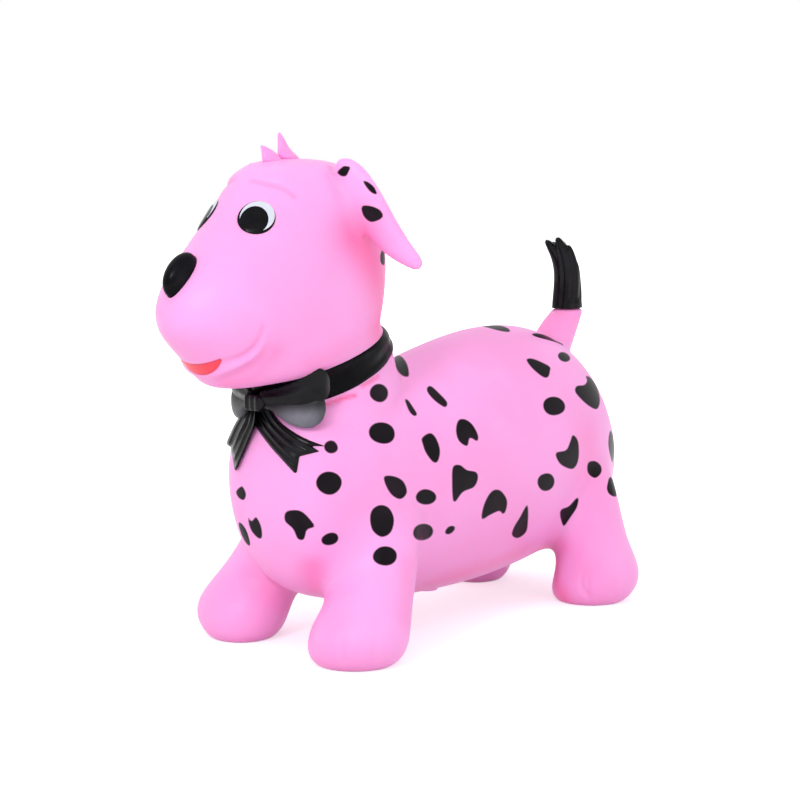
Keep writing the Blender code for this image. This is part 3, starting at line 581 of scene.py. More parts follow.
def press(line, half_width, depth):
    """Presses a groove along a line; its ends fade out."""
    reach = half_width * 4
    near = np.where(((points > line.min(0) - reach) & (points < line.max(0) + reach)).all(1))[0]
    away, along = path_distance(points[near], line)
    fade = np.sin(np.pi * np.clip(along, 0.04, 0.96)) ** 0.5
    push[near] -= depth * np.exp(-(away / half_width) ** 2) * fade


for marks, half_width, depth in CREASES:
    for line in skin_lines(marks, 6):
        press(line, half_width, depth)
for limb, side, hip, foot, share in LIMBS:
    for turn in TOE_ANGLES:
        heading = math.atan2(-1, side) + turn
        ahead = Vector((math.cos(heading), math.sin(heading), 0))
        starts = [foot + ahead * (reach * share) + UP * height for reach, height in TOE_GROOVE]
        press(smooth_path([surface.find_nearest(start)[0] for start in starts], 6), TOE_HALF_WIDTH, TOE_DEPTH)
points = points + normals * np.clip(push, *PUSH_LIMITS)[:, None]

# flat soles: no part of the skin lies below the floor
points[:, 2] = np.maximum(points[:, 2], 0.0)
normals = vertex_normals(points)
surface = skin_tree()

# Painted spots
# outlines, in pixels
OUTLINED_SPOTS = (
    ((395, 357), (401, 356), (407, 364), (409, 374), (407, 377), (400, 374), (395, 365)),
    ((427, 388), (431, 386), (440, 394), (447, 402), (446, 407), (442, 406), (434, 400), (428, 393)),
    ((405, 400), (408, 400), (413, 407), (417, 414), (414, 416), (409, 411)),
    ((422, 438), (430, 433), (436, 438), (440, 450), (438, 461), (433, 462), (426, 453), (423, 445)),
    ((458, 421), (464, 419), (472, 424), (478, 435), (477, 441), (470, 438), (467, 446), (459, 441),
     (456, 431)),
    ((453, 467), (460, 465), (467, 470), (476, 472), (478, 478), (474, 487), (463, 492), (456, 501),
     (453, 500), (452, 482)),
    ((384, 477), (393, 476), (403, 481), (407, 492), (401, 499), (393, 496), (387, 488)),
    ((286, 512), (296, 510), (304, 513), (313, 523), (314, 527), (307, 530), (304, 539), (298, 539),
     (293, 529), (285, 521)),
    ((372, 510), (380, 505), (389, 508), (394, 519), (391, 532), (382, 537), (373, 531), (370, 520)),
    ((494, 490), (501, 491), (507, 500), (506, 510), (503, 514), (499, 511), (490, 515), (482, 519),
     (483, 508), (488, 496)),
    ((526, 506), (528, 507), (528, 521), (526, 532), (518, 538), (512, 535), (514, 527), (520, 517)),
    ((527, 359), (534, 359), (549, 366), (550, 371), (548, 377), (543, 377), (534, 370), (528, 363)),
    ((586, 376), (591, 378), (597, 387), (600, 400), (597, 409), (589, 406), (580, 398), (575, 391),
     (577, 386), (584, 385), (587, 381)),
    ((573, 435), (578, 441), (579, 454), (577, 464), (572, 469), (563, 466), (558, 461), (556, 453),
     (566, 450), (570, 442)),
    ((578, 497), (577, 507), (570, 518), (564, 526), (561, 520), (560, 513), (562, 509), (569, 506)),
    ((588, 463), (595, 461), (601, 466), (601, 473), (595, 478), (588, 473)),
    ((240, 487), (243, 487), (246, 494), (244, 500), (239, 498), (236, 492)),
    ((248, 518), (252, 521), (256, 517), (261, 526), (262, 537), (258, 538), (251, 530)),
    ((363, 181), (368, 182), (374, 187), (377, 194), (372, 193), (367, 188)),
    ((362, 206), (371, 206), (380, 210), (383, 216), (379, 220), (371, 222), (365, 218), (362, 212)),
    ((344, 166), (350, 167), (349, 171), (346, 176), (341, 176), (337, 172), (340, 169)),
)
# centre, size across and up, and lean in degrees
OVAL_SPOTS = (
    (379, 393, 19, 18, 0), (382, 433, 26, 22, -8), (331, 447, 14, 13, 0), (329, 483, 25, 24, 0),
    (426, 497, 20, 16, 0), (330, 539, 18, 12, 14), (385, 556, 25, 19, 5), (423, 532, 20, 17, 12),
    (450, 530, 11, 7, 38), (554, 406, 22, 19, -18), (564, 357, 13, 9, -30), (546, 482, 17, 18, 0),
)
# on the skin itself: pixel of the centre, then width along the skin and height up it in millimetres, and lean
WRAPPED_SPOTS = (
    (495, 326.5, 38, 24, 0), (549, 338.0, 62, 15, -27), (612, 446, 30, 34, 6), (613, 487, 26, 22, 0),
    (383, 258, 16, 15, 0), (244, 534, 24, 16, -60),
)
PAINT_EDGE = 0.0008
UNPAINTED = 0.05
# how far from a spot's middle the paint is worked out: a share of its size, and a margin
SEEN_REACH = (2.2, 0.006)
WRAPPED_REACH = (1.7, 0.004)

paint = np.full(len(points), UNPAINTED)
screen = pixels_of(points)
facing = normals @ np.array(camera_back)
ear_gap = np.minimum(form_distance["left_ear"], form_distance["right_ear"])
on_ear = ear_gap < np.minimum(form_distance["torso"], form_distance["head"])


def outline_distance(co, outline):
    """Signed distance of 2D points to a closed outline, negative inside."""
    away = np.full(len(co), 1e9)
    inside = np.zeros(len(co), bool)
    for a, b in zip(outline, np.roll(outline, -1, axis=0)):
        step = b - a
        t = np.clip((co - a) @ step / max(step @ step, 1e-12), 0, 1)
        away = np.minimum(away, np.linalg.norm(co - (a + t[:, None] * step), axis=1))
        crosses = (a[1] > co[:, 1]) != (b[1] > co[:, 1])
        with np.errstate(divide="ignore", invalid="ignore"):
            x = a[0] + (co[:, 1] - a[1]) * step[0] / step[1]
        inside ^= crosses & (co[:, 0] < x)
    return np.where(inside, -away, away)


def oval(width, height, lean, wobble, seed):
    """A closed, slightly irregular oval outline about the origin."""
    turn = math.radians(lean)
    draw = random.Random(seed)
    phases = [draw.uniform(0, 2 * math.pi) for _ in range(3)]
    outline = []
    for angle in turns(28):
        waves = sum(math.sin(angle * (k + 2) + phase) / (k + 1) for k, phase in enumerate(phases))
        swell = 1 + wobble * waves
        x, y = width / 2 * swell * math.cos(angle), height / 2 * swell * math.sin(angle)
        outline.append((x * math.cos(turn) - y * math.sin(turn), x * math.sin(turn) + y * math.cos(turn)))
    return np.array(outline)


def paint_seen(outline):
    """Paints an outline given in pixels on the skin that the camera sees there."""
    place = np.array(on_skin(*outline.mean(0))[0])
    scale = np.linalg.norm(place - np.array(camera_place)) / FOCAL_PIXELS
    share, margin = SEEN_REACH
    away = np.linalg.norm(points - place, axis=1)
    reach = np.ptp(outline, axis=0).max() * scale * share + margin
    near = np.where((away < reach) & (facing > 0) & (on_ear == on_ear[away.argmin()]))[0]
    paint[near] = np.minimum(paint[near], outline_distance(screen[near], outline) * scale)


def paint_wrapped(start, heading, width, height, lean, wobble, seed):
    """Paints an oval, in millimetres, on the skin's tangent plane where a ray meets it."""
    hit = cast(start, heading)
    if hit is None:
        return
    place, normal = hit
    outline = oval(width / 1000, height / 1000, lean, wobble, seed)
    side = UP.cross(normal)
    side = SIDE if side.length < 0.2 else side.normalized()
    up = normal.cross(side).normalized()
    share, margin = WRAPPED_REACH
    offset = points - np.array(place)
    reach = np.abs(outline).max() * share + margin
    near = np.where((np.linalg.norm(offset, axis=1) < reach) & (normals @ np.array(normal) > 0))[0]
    flat = np.stack([offset[near] @ np.array(side), offset[near] @ np.array(up)], -1)
    paint[near] = np.minimum(paint[near], outline_distance(flat, outline))


for marks in OUTLINED_SPOTS:
    paint_seen(smooth_path(marks, 5, closed=True))
for index, (u, v, width, height, lean) in enumerate(OVAL_SPOTS):
    paint_seen(oval(width, height, -lean, 0.03, index) + np.array((u, v)))
for index, (u, v, width, height, lean) in enumerate(WRAPPED_SPOTS):
    paint_wrapped(camera_place, pixel_ray(u, v), width, height, lean, 0.06, 40 + index)

# the sides that the photograph doesn't show have the same kind of spots, in millimetres
# right side: y, z, width and height
FAR_SPOTS = (
    (-128, 232, 18, 17), (-92, 214, 24, 20), (-118, 176, 25, 22), (-60, 246, 12, 22), (-44, 202, 17, 28),
    (-70, 158, 22, 24), (-18, 226, 24, 26), (-22, 168, 20, 15), (14, 188, 27, 34), (-48, 118, 20, 17),
    (30, 140, 24, 28), (58, 114, 18, 30), (-10, 108, 13, 10), (160, 262, 24, 20), (128, 232, 22, 19),
    (206, 246, 24, 32), (188, 196, 24, 33), (150, 168, 17, 18), (222, 176, 15, 19), (196, 132, 19, 28),
    (236, 140, 20, 24), (-148, 132, 24, 26), (96, 222, 16, 13), (92, 84, 22, 18), (-96, 92, 22, 18),
)
# back: y, x, width and height
BACK_SPOTS = ((120, -62, 30, 24), (182, -38, 24, 30), (40, -48, 26, 22))
# rump: x, z, width and height
RUMP_SPOTS = ((-44, 196, 20, 24), (-58, 248, 18, 22), (30, 150, 24, 20), (-20, 236, 16, 14))
# right ear: share of the way to the tip, and share of the half width across
EAR_SPOT_SHARES = ((0.16, -0.55), (0.34, 0.05), (0.60, 0.10))
EAR_SPOT = (13, 15)
# where the rays to these spots start
BESIDE = 0.4
ABOVE = 0.6
BEHIND = 0.6
BEFORE_EAR = 0.05
for index, (y, z, width, height) in enumerate(FAR_SPOTS):
    lean = random.Random(100 + index).uniform(-35, 35)
    paint_wrapped(Vector((-BESIDE, y / 1000, z / 1000)), SIDE, width, height, lean, 0.13, 60 + index)
for index, (y, x, width, height) in enumerate(BACK_SPOTS):
    paint_wrapped(Vector((x / 1000, y / 1000, ABOVE)), -UP, width, height, 20, 0.12, 90 + index)
for index, (x, z, width, height) in enumerate(RUMP_SPOTS):
    paint_wrapped(Vector((x / 1000, BEHIND, z / 1000)), FRONT, width, height, 30, 0.12, 95 + index)
root, tip, out, chord, through = ear_axes(-1)
outward = through if through.y < 0 else -through
for index, (way, across) in enumerate(EAR_SPOT_SHARES):
    start = root.lerp(tip, way) + chord * (EAR_ROOT_HALF_WIDTH * across) + outward * BEFORE_EAR
    paint_wrapped(start, -outward, *EAR_SPOT, 20, 0.12, 120 + index)

# red mouth: nearly level above, an arc below, across the front of the chin
MOUTH_HALF_WIDTH = 0.0315
MOUTH_TOP_Z = 0.2962
MOUTH_CORNER_RISE = 0.0070
MOUTH_HEIGHT = 0.0115
mouth = np.full(len(points), UNPAINTED)
near = np.where((np.abs(points[:, 0]) < 0.05) & (points[:, 1] < -0.22) & (normals[:, 1] < 0)
                & (np.abs(points[:, 2] - MOUTH_TOP_Z) < 0.05))[0]
reach = np.clip(np.abs(points[near, 0]) / MOUTH_HALF_WIDTH, 0, 1)
upper = MOUTH_TOP_Z + MOUTH_CORNER_RISE * reach ** 2
lower = upper - MOUTH_HEIGHT * (1 - reach ** 2.2) ** 0.62
mouth[near] = np.maximum.reduce([points[near, 2] - upper, lower - points[near, 2],
                                 np.abs(points[near, 0]) - MOUTH_HALF_WIDTH])


# Materials
def feed(tree, target, value):
    """Gives a socket a number, a vector, a colour or another node's output."""
    if isinstance(value, bpy.types.NodeSocket):
        tree.links.new(value, target)
    else:
        target.default_value = (*value, 1) if target.type == "RGBA" else value


def add_node(tree, kind, inputs=(), **settings):
    """The outputs of a new shader node; inputs are pairs of a socket's name or number and its value."""
    node = tree.nodes.new("ShaderNode" + kind)
    for name, value in settings.items():
        setattr(node, name, value)
    for name, value in inputs:
        feed(tree, node.inputs[name], value)
    return node.outputs


def noise(tree, scale, detail, rough=0.5):
    place = add_node(tree, "TexCoord")["Object"]
    return add_node(tree, "TexNoise", (("Vector", place), ("Scale", scale), ("Detail", detail),
                                       ("Roughness", rough)))["Fac"]


def span(tree, value, from_low, from_high, to_low=0.0, to_high=1.0):
    return add_node(tree, "MapRange", (("Value", value), ("From Min", from_low), ("From Max", from_high),
                                       ("To Min", to_low), ("To Max", to_high)),
                    interpolation_type="SMOOTHSTEP")["Result"]


def attribute(tree, name):
    return add_node(tree, "Attribute", attribute_name=name)["Fac"]


def mixed(tree, factor, first, second):
    """A colour mix; first and second are colours or outputs."""
    outputs = add_node(tree, "Mix", (("Factor", factor),), data_type="RGBA")
    node = outputs[0].node
    for target, value in zip((s for s in node.inputs if s.type == "RGBA"), (first, second)):
        feed(tree, target, value)
    return next(s for s in outputs if s.type == "RGBA")


def new_material(name, roughness, **values):
    """A material, its tree, and what sets its shader's sockets, named in lower case with low dashes."""
    material = bpy.data.materials.new(name)
    material.use_nodes = True
    tree = material.node_tree
    shader = tree.nodes["Principled BSDF"]

    def dress(**values):
        for socket, value in values.items():
            title = socket.replace("_", " ").title().replace("Ior", "IOR")
            feed(tree, shader.inputs[title], value)

    dress(roughness=roughness, metallic=0.0, coat_roughness=0.12, **values)
    return material, tree, dress


def bump(tree, height, distance, strength):
    return add_node(tree, "Bump", (("Height", height), ("Distance", distance),
                                   ("Strength", strength)))["Normal"]


PINK = (0.975, 0.365, 0.740)
# the deeper pink of painted shade
SHADE_PINK = (0.980, 0.150, 0.400)
PALE_PINK = (0.980, 0.395, 0.790)
INK = (0.0045, 0.0025, 0.0050)
WORN_INK = (0.0130, 0.0060, 0.0120)
RED = (0.960, 0.065, 0.105)
DARK_RED = (0.700, 0.045, 0.100)
BLACK = (0.0022, 0.0020, 0.0030)
WORN_BLACK = (0.0055, 0.0050, 0.0080)
# a grey painted sheen for the ribbon, plain and worn
GREY = (0.135, 0.135, 0.165)
WORN_GREY = (0.175, 0.175, 0.205)
EYE_WHITE = (0.66, 0.67, 0.75)
SHADED_WHITE = (0.60, 0.63, 0.72)
MOUTH_RIM = 0.0022
# the skin's shine and glow, plain and where it is painted
ROUGHNESS = (0.42, 0.34)
SPECULAR = (0.30, 0.09)
SUBSURFACE = (0.30, 0.0)
SUBSURFACE_SHARES = (1.0, 0.25, 0.45)
SUBSURFACE_REACH = 0.014
# how deep the grain is
SKIN_GRAIN = 0.00010
BLACK_GRAIN = 0.00012
PLAIN_GRAIN = 0.00008


def skin_material():
    material, tree, dress = new_material(
        "pink_vinyl_skin", ROUGHNESS[0], specular_ior_level=SPECULAR[0], subsurface_weight=SUBSURFACE[0],
        subsurface_radius=SUBSURFACE_SHARES, subsurface_scale=SUBSURFACE_REACH)
    cloudy = mixed(tree, span(tree, noise(tree, 9.0, 2.0), 0.35, 0.65), PINK, PALE_PINK)
    # painted shade: the skin turns a deeper pink by its shade values
    with_shade = mixed(tree, attribute(tree, "painted_shade"), cloudy, SHADE_PINK)
    ink = mixed(tree, span(tree, noise(tree, 26.0, 3.0), 0.45, 0.70), INK, WORN_INK)
    spotted = span(tree, attribute(tree, "paint"), -PAINT_EDGE, PAINT_EDGE, 1.0, 0.0)
    red = span(tree, attribute(tree, "mouth"), -PAINT_EDGE, PAINT_EDGE, 1.0, 0.0)
    lip = mixed(tree, span(tree, attribute(tree, "mouth"), -MOUTH_RIM, 0.0), RED, DARK_RED)
    dress(base_color=mixed(tree, red, mixed(tree, spotted, with_shade, ink), lip),
          roughness=span(tree, spotted, 0.0, 1.0, *ROUGHNESS),
          specular_ior_level=span(tree, spotted, 0.0, 1.0, *SPECULAR),
          subsurface_weight=span(tree, spotted, 0.0, 1.0, *SUBSURFACE),
          normal=bump(tree, noise(tree, 340.0, 3.0, 0.6), SKIN_GRAIN, 0.5))
    return material


def black_vinyl(name, roughness, scale, specular, lit=False):
    material, tree, dress = new_material(name, roughness, specular_ior_level=specular)
    worn = span(tree, noise(tree, scale, 3.0), 0.45, 0.70)
    base = mixed(tree, worn, BLACK, WORN_BLACK)
    # painted sheen: grey where the lit values say
    if lit:
        base = mixed(tree, attribute(tree, "lit"), base, mixed(tree, worn, GREY, WORN_GREY))
    dress(base_color=base,
          roughness=span(tree, noise(tree, scale * 2, 2.0), 0.3, 0.7, roughness - 0.05, roughness + 0.08),
          normal=bump(tree, noise(tree, scale * 6, 2.0), BLACK_GRAIN, 0.4))
    return material


def plain_vinyl(name, colour, other, roughness):
    material, tree, dress = new_material(name, roughness, coat_weight=0.1)
    dress(base_color=mixed(tree, span(tree, noise(tree, 40.0, 2.0), 0.4, 0.6), colour, other),
          normal=bump(tree, noise(tree, 320.0, 2.0), PLAIN_GRAIN, 0.4))
    return material


SKIN = skin_material()
BLACK_RIBBON = black_vinyl("black_ribbon", 0.28, 55.0, 0.15)
# the lower puffs' material, with a painted sheen
SHEEN_PAINTED_RIBBON = black_vinyl("sheen_painted_ribbon", 0.44, 55.0, 0.30, lit=True)
BLACK_COLLAR = black_vinyl("black_collar", 0.24, 40.0, 0.045)
BLACK_TUFT = black_vinyl("black_tuft", 0.17, 50.0, 0.13)
BLACK_NOSE = black_vinyl("black_nose", 0.22, 30.0, 0.065)
BLACK_EYE = black_vinyl("black_eye", 0.24, 90.0, 0.10)
WHITE_EYE = plain_vinyl("white_eye", EYE_WHITE, SHADED_WHITE, 0.16)
PLUG = plain_vinyl("plug_plastic", (0.82, 0.86, 0.90), (0.76, 0.80, 0.85), 0.38)
SEAT = plain_vinyl("seat_vinyl", PINK, PALE_PINK, 0.42)

# Painted shade, a deeper pink: where the skin folds in, seen by how far it lies below its own smoothed
# surface
CREASE_SHADE_SPAN = (0.0004, 0.0040)
CREASE_SHADE_TINT = 0.75
hollow = ((relax(points, everywhere, 60) - points) * normals).sum(1)
painted_shade = relax((smoothstep(*CREASE_SHADE_SPAN, hollow) * CREASE_SHADE_TINT)[:, None], everywhere, 12)[:, 0]

# and painted shade where it is closed in, counted with rays about each vertex's normal: lean and turn
SHELTER_REACH = 0.10
SHELTER_CLEAR = 0.0015
SHELTER_RAYS = ([(math.radians(35), turn) for turn in turns(3)]
                + [(math.radians(66), turn + math.radians(30)) for turn in turns(6)])
SHELTER_SPAN = (0.10, 0.55)
SHELTER_SHADE_TINT = 0.80
around = np.cross(normals, [[0.31, 0.52, 0.79]])
around /= np.linalg.norm(around, axis=1)[:, None]
across = np.cross(normals, around)
starts = (points + normals * SHELTER_CLEAR).tolist()
shelter = np.zeros(len(points))
for lean, turn in SHELTER_RAYS:
    sideways = around * math.cos(turn) + across * math.sin(turn)
    headings = (normals * math.cos(lean) + sideways * math.sin(lean)).tolist()
    for i, (start, heading) in enumerate(zip(starts, headings)):
        away = surface.ray_cast(start, heading, SHELTER_REACH)[3]
        if away is not None:
            shelter[i] += 1 - away / SHELTER_REACH
shelter = relax((shelter / len(SHELTER_RAYS))[:, None], everywhere, 25)[:, 0]
painted_shade = np.maximum(painted_shade, smoothstep(*SHELTER_SPAN, shelter) * SHELTER_SHADE_TINT)

# and painted shade, a deeper pink, on its underside and along its hollows: line, half width, strength
SHADE_LINES = (
    (((356, 236), (366, 252), (377, 272), (382, 300), (379, 322)), 0.0270, 0.74),
    (((336, 178), (340, 196), (346, 214)), 0.0080, 0.22),
    (((545, 332), (553, 320), (560, 309)), 0.0220, 0.34),
    (((228, 383), (246, 376), (262, 364), (275, 352)), 0.0100, 0.26),
    (((312, 364), (336, 352), (358, 342)), 0.0120, 0.16),
    (NECK_FOLD_FRONT, 0.0022, 0.95),
    (NECK_FOLD_SIDE, 0.0022, 0.70),
    (BROW, 0.0024, 0.30),
    (SMILE, 0.0026, 0.18),
    (((329.5, 166), (331.5, 171), (334.0, 175)), 0.0026, 0.35),
    (((312, 566), (318, 592), (313, 612)), 0.0130, 0.36),
    (((408, 566), (406, 594), (404, 618)), 0.0120, 0.22),
    (((556, 562), (556, 582), (562, 596)), 0.0130, 0.66),
    (((534, 552), (548, 548), (562, 546)), 0.0130, 0.40),
    (((430, 583), (460, 575), (490, 565), (520, 553)), 0.0160, 0.30),
    (((594, 560), (592, 500), (588, 440)), 0.0260, 0.22),
)
UNDERSIDE_SHADE_TINT = 0.12
for marks, half_width, strength in SHADE_LINES:
    for line in skin_lines(marks, 4):
        away, _ = path_distance(points, line)
        painted_shade = np.maximum(painted_shade, strength * np.exp(-(away / half_width) ** 2))
# painted shade on the underside, more where the skin faces further down
painted_shade = np.clip(painted_shade + UNDERSIDE_SHADE_TINT * smoothstep(0.0, 0.9, -normals[:, 2]), 0, 1)

# The skin's pieces: the body is number 0, and each limb, each ear and the tail has a number of its own
NUMBERS = {name: number for number, name in enumerate(list(forms)[2:], 1)}
face_gap = {name: gap[faces].mean(1) for name, gap in form_distance.items()}
body_gap = np.minimum(face_gap["torso"], face_gap["head"])
owner = np.zeros(len(faces), int)
for name, number in NUMBERS.items():
    owner[face_gap[name] < body_gap] = number


def skin_piece(name, number):
    """A piece of the skin with its faces, values and the whole skin's normals."""
    chosen = faces[owner == number]
    used, index = np.unique(chosen, return_inverse=True)
    mesh = bpy.data.meshes.new(name)
    mesh.from_pydata(points[used].tolist(), [], polygons_of(index.reshape(chosen.shape)))
    # each piece carries the paint, the mouth and the painted shade
    for value_name, values in (("paint", paint), ("mouth", mouth), ("painted_shade", painted_shade)):
        add_values(mesh, value_name, values[used])
    finished(mesh, SKIN)
    mesh.normals_split_custom_set_from_vertices(normals[used].tolist())
    obj = linked(name, mesh)
    return obj


# each piece shares its edge with the body and keeps the whole skin's normals, so no seam opens
skin = skin_piece("skin", 0)
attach(skin, "body")
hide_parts("torso_skin", "head_skin", "tongue")
for limb, side, hip, foot, share in LIMBS:
    piece = skin_piece(limb + "_limb", NUMBERS[limb])
    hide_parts(limb + "_leg", limb + "_foot")
    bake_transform(piece)
for name, side in (("left_ear", 1), ("right_ear", -1)):
    piece = skin_piece(name + "_flap", NUMBERS[name])
    root, tip, out, chord, through = ear_axes(side)
    away = (out - chord * out.dot(chord)).normalized()
    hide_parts(name)
    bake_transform(piece)
tail = skin_piece("tail_stem_skin", NUMBERS["tail"])
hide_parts("tail_stem")
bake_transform(tail)

# Reliefs: thin pieces that follow the skin
RELIEF_SINK = 0.0012
DOME_BEFORE = 0.02


def relief(name, rows, material, closed=False):
    """A solid from rows of (foot on the skin, top) pairs: the tops make its face, the feet its back."""
    bm = bmesh.new()
    top, foot = ([[bm.verts.new(pair[k]) for pair in row] for row in rows] for k in (1, 0))
    spans = list(zip(range(len(rows)), [*range(1, len(rows)), 0]))
    steps = range(len(rows[0]) - 1)
    for i, k in spans if closed else spans[:-1]:
        for layer, turn in ((top, 1), (foot, -1)):
            for j in steps:
                bm.faces.new((layer[i][j], layer[i][j + 1], layer[k][j + 1], layer[k][j])[::turn])
        bm.faces.new((top[i][0], foot[i][0], foot[k][0], top[k][0]))
        bm.faces.new((top[i][-1], top[k][-1], foot[k][-1], foot[i][-1]))
    for i, turn in () if closed else ((0, -1), (-1, 1)):
        for j in steps:
            bm.faces.new((top[i][j], top[i][j + 1], foot[i][j + 1], foot[i][j])[::turn])
    bmesh.ops.recalc_face_normals(bm, faces=bm.faces)
    obj = linked(name, finished(mesh_of(bm, name), material))
    subdivide(obj, 1)
    return obj


def dome(name, outline, height_at, axes, centre, lift, material, rings=7):
    """A domed disc within an outline about the centre; it stands height_at plus lift off the skin."""
    side, up, out = axes

    def seat(a, b):
        start = centre + side * a + up * b
        hit = cast(start + out * DOME_BEFORE, -out, DOME_BEFORE * 3)
        return hit[0] if hit else start

    def raised(a, b, drop=0.0):
        return seat(a, b) + out * (height_at(a, b) + lift - drop)

    middle = outline.mean(0)
    bm = bmesh.new()
    hub = bm.verts.new(raised(*middle))
    loops = []
    for k in range(1, rings + 1):
        share = math.sin(math.pi / 2 * k / rings)
        loops.append([raised(*(middle + (point - middle) * share)) for point in outline])
    # the rim turns down into the skin
    loops.append([raised(*(middle + (point - middle) * 1.015), drop=lift * 0.7) for point in outline])
    loops.append([seat(*point) - out * RELIEF_SINK for point in outline])
    loops = [[bm.verts.new(place) for place in loop] for loop in loops]
    after = [*range(1, len(outline)), 0]
    for j, k in enumerate(after):
        bm.faces.new((hub, loops[0][j], loops[0][k]))
        for inner, outer in zip(loops, loops[1:]):
            bm.faces.new((inner[j], outer[j], outer[k], inner[k]))
    bm.faces.new(loops[-1])
    bmesh.ops.recalc_face_normals(bm, faces=bm.faces)
    return linked(name, finished(mesh_of(bm, name), material))


def mirror_of(obj, name):
    """The same piece on the other side of the dog."""
    mesh = obj.data.copy()
    mesh.name = name
    mesh.transform(Matrix.Diagonal((-1, 1, 1, 1)))
    mesh.flip_normals()
    return linked(name, mesh)


def on_body(obj, *nodes, body="body", slot="black_vinyl"):
    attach(obj, body)
    if nodes:
        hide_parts(*nodes)


# Eyes
EYE_PIXEL = (256.6, 217.2)
EYE_HALF = (0.0212, 0.0170)
EYE_DOME = 0.0018
eye_place, eye_out = on_skin(*EYE_PIXEL)
eye_side = UP.cross(eye_out).normalized()
eye_axes = (eye_side, eye_out.cross(eye_side).normalized(), eye_out)
# how long a millimetre sideways looks in the picture, from where the eye faces
eye_turn = abs(eye_side.dot(camera_right))


def eye_height(a, b):
    inside = 1 - (a / EYE_HALF[0]) ** 2 - (b / EYE_HALF[1]) ** 2
    return EYE_DOME * math.sqrt(max(inside, 0.0))


def eye_outline(shift, half):
    """An oval in the eye's own frame, from a shift and half axes in pixels."""
    pixel = np.array((PIXEL / eye_turn, PIXEL))
    centre = np.array((shift[0], -shift[1])) * pixel
    return np.array([centre + np.array((half[0] * math.cos(angle), half[1] * math.sin(angle))) * pixel
                     for angle in turns(40)])


# shift and half axes in pixels, how far it stands off the skin, and the CAD piece that it takes the place of
EYE_PIECES = (
    ("eye_rim", (-0.3, 0.4), (16.9, 17.2), 0.0002, BLACK_EYE, "black_vinyl", ()),
    ("eye_ball", (0.5, -0.9), (15.6, 15.8), 0.0004, WHITE_EYE, "eye_white", ("_eye_white",)),
    ("eye_pupil", (-2.0, 3.4), (12.9, 13.9), 0.0006, BLACK_EYE, "black_vinyl", ("_eye_pupil",)),
)
for piece, shift, half, lift, material, slot, nodes in EYE_PIECES:
    left = dome("left_" + piece, eye_outline(shift, half), eye_height, eye_axes, eye_place, lift, material)
    right = mirror_of(left, "right_" + piece)
    for obj, side in ((left, "left"), (right, "right")):
        on_body(obj, *(side + node for node in nodes), slot=slot)

# Nose: egg-shaped, fuller above than below
NOSE_Z = 0.3785
NOSE_HALF_WIDTH = 0.0120
NOSE_HALF_HEIGHT = 0.0234
NOSE_PROUD = 0.0132
NOSE_LIFT = 0.0026
NOSE_FULLER_SHARE = 0.10
BEFORE_NOSE = 0.6
nose_place, nose_normal = cast(Vector((0, -BEFORE_NOSE, NOSE_Z)), -FRONT)
nose_out = Vector((0, nose_normal.y, nose_normal.z)).normalized()
nose_axes = (SIDE, nose_out.cross(SIDE), nose_out)


def nose_half_width(rise):
    return NOSE_HALF_WIDTH * (1 + NOSE_FULLER_SHARE * rise)


def nose_height(a, b):
    rise = b / NOSE_HALF_HEIGHT
    inside = 1 - (a / nose_half_width(rise)) ** 2 - rise ** 2
    return NOSE_PROUD * max(inside, 0.0) ** 0.42


nose_outline = np.array([(nose_half_width(math.sin(angle)) * math.cos(angle),
                          NOSE_HALF_HEIGHT * math.sin(angle)) for angle in turns(48)])
on_body(dome("nose_tip", nose_outline, nose_height, nose_axes, nose_place, NOSE_LIFT, BLACK_NOSE, 12), "nose")


def on_middle(u, v):
    """The place seen at a pixel on the upright plane through the middle of the dog."""
    ray = pixel_ray(u, v)
    return camera_place - ray * (camera_place.x / ray.x)


# Hair: two spikes swept forward
# per spike: the front and back edge in pixels at each level, from root to tip, and the half thickness there
HAIR = (
    ("hair_back", ((281.0, 301.0, 161.0, 8.0), (278.0, 296.0, 155.0, 6.2), (278.2, 290.5, 150.5, 4.8),
                   (278.4, 287.0, 145.0, 3.6), (278.0, 284.4, 139.5, 2.6), (277.8, 281.8, 135.0, 1.6),
                   (278.2, 280.2, 132.2, 0.7))),
    ("hair_front", ((264.0, 288.0, 165.0, 8.0), (262.6, 281.0, 159.0, 6.2), (262.3, 277.0, 154.5, 4.8),
                    (261.6, 273.0, 150.5, 3.4), (260.7, 267.5, 147.4, 2.2), (260.2, 263.0, 145.2, 0.9))),
)
HAIR_POINTS = 14
# an even share of painted shade over the hair spikes
HAIR_SHADE = 0.12
for name, levels in HAIR:
    rings = []
    for front, back, v, thick in levels:
        near_edge, far_edge = on_middle(front, v), on_middle(back, v)
        centre, reach = (near_edge + far_edge) / 2, (far_edge - near_edge) / 2
        rings.append([centre + reach * math.cos(angle) + SIDE * (thick / 1000 * math.sin(angle))
                      for angle in turns(HAIR_POINTS)])
    mesh = finished(loft_mesh(name + "_spike", rings, 2), SKIN)
    # the spikes: no paint, no mouth, and an even painted shade
    for value_name, value in (("paint", UNPAINTED), ("mouth", UNPAINTED), ("painted_shade", HAIR_SHADE)):
        add_values(mesh, value_name, np.full(len(mesh.vertices), value))
    on_body(linked(name + "_spike", mesh), name, slot="pink_vinyl")

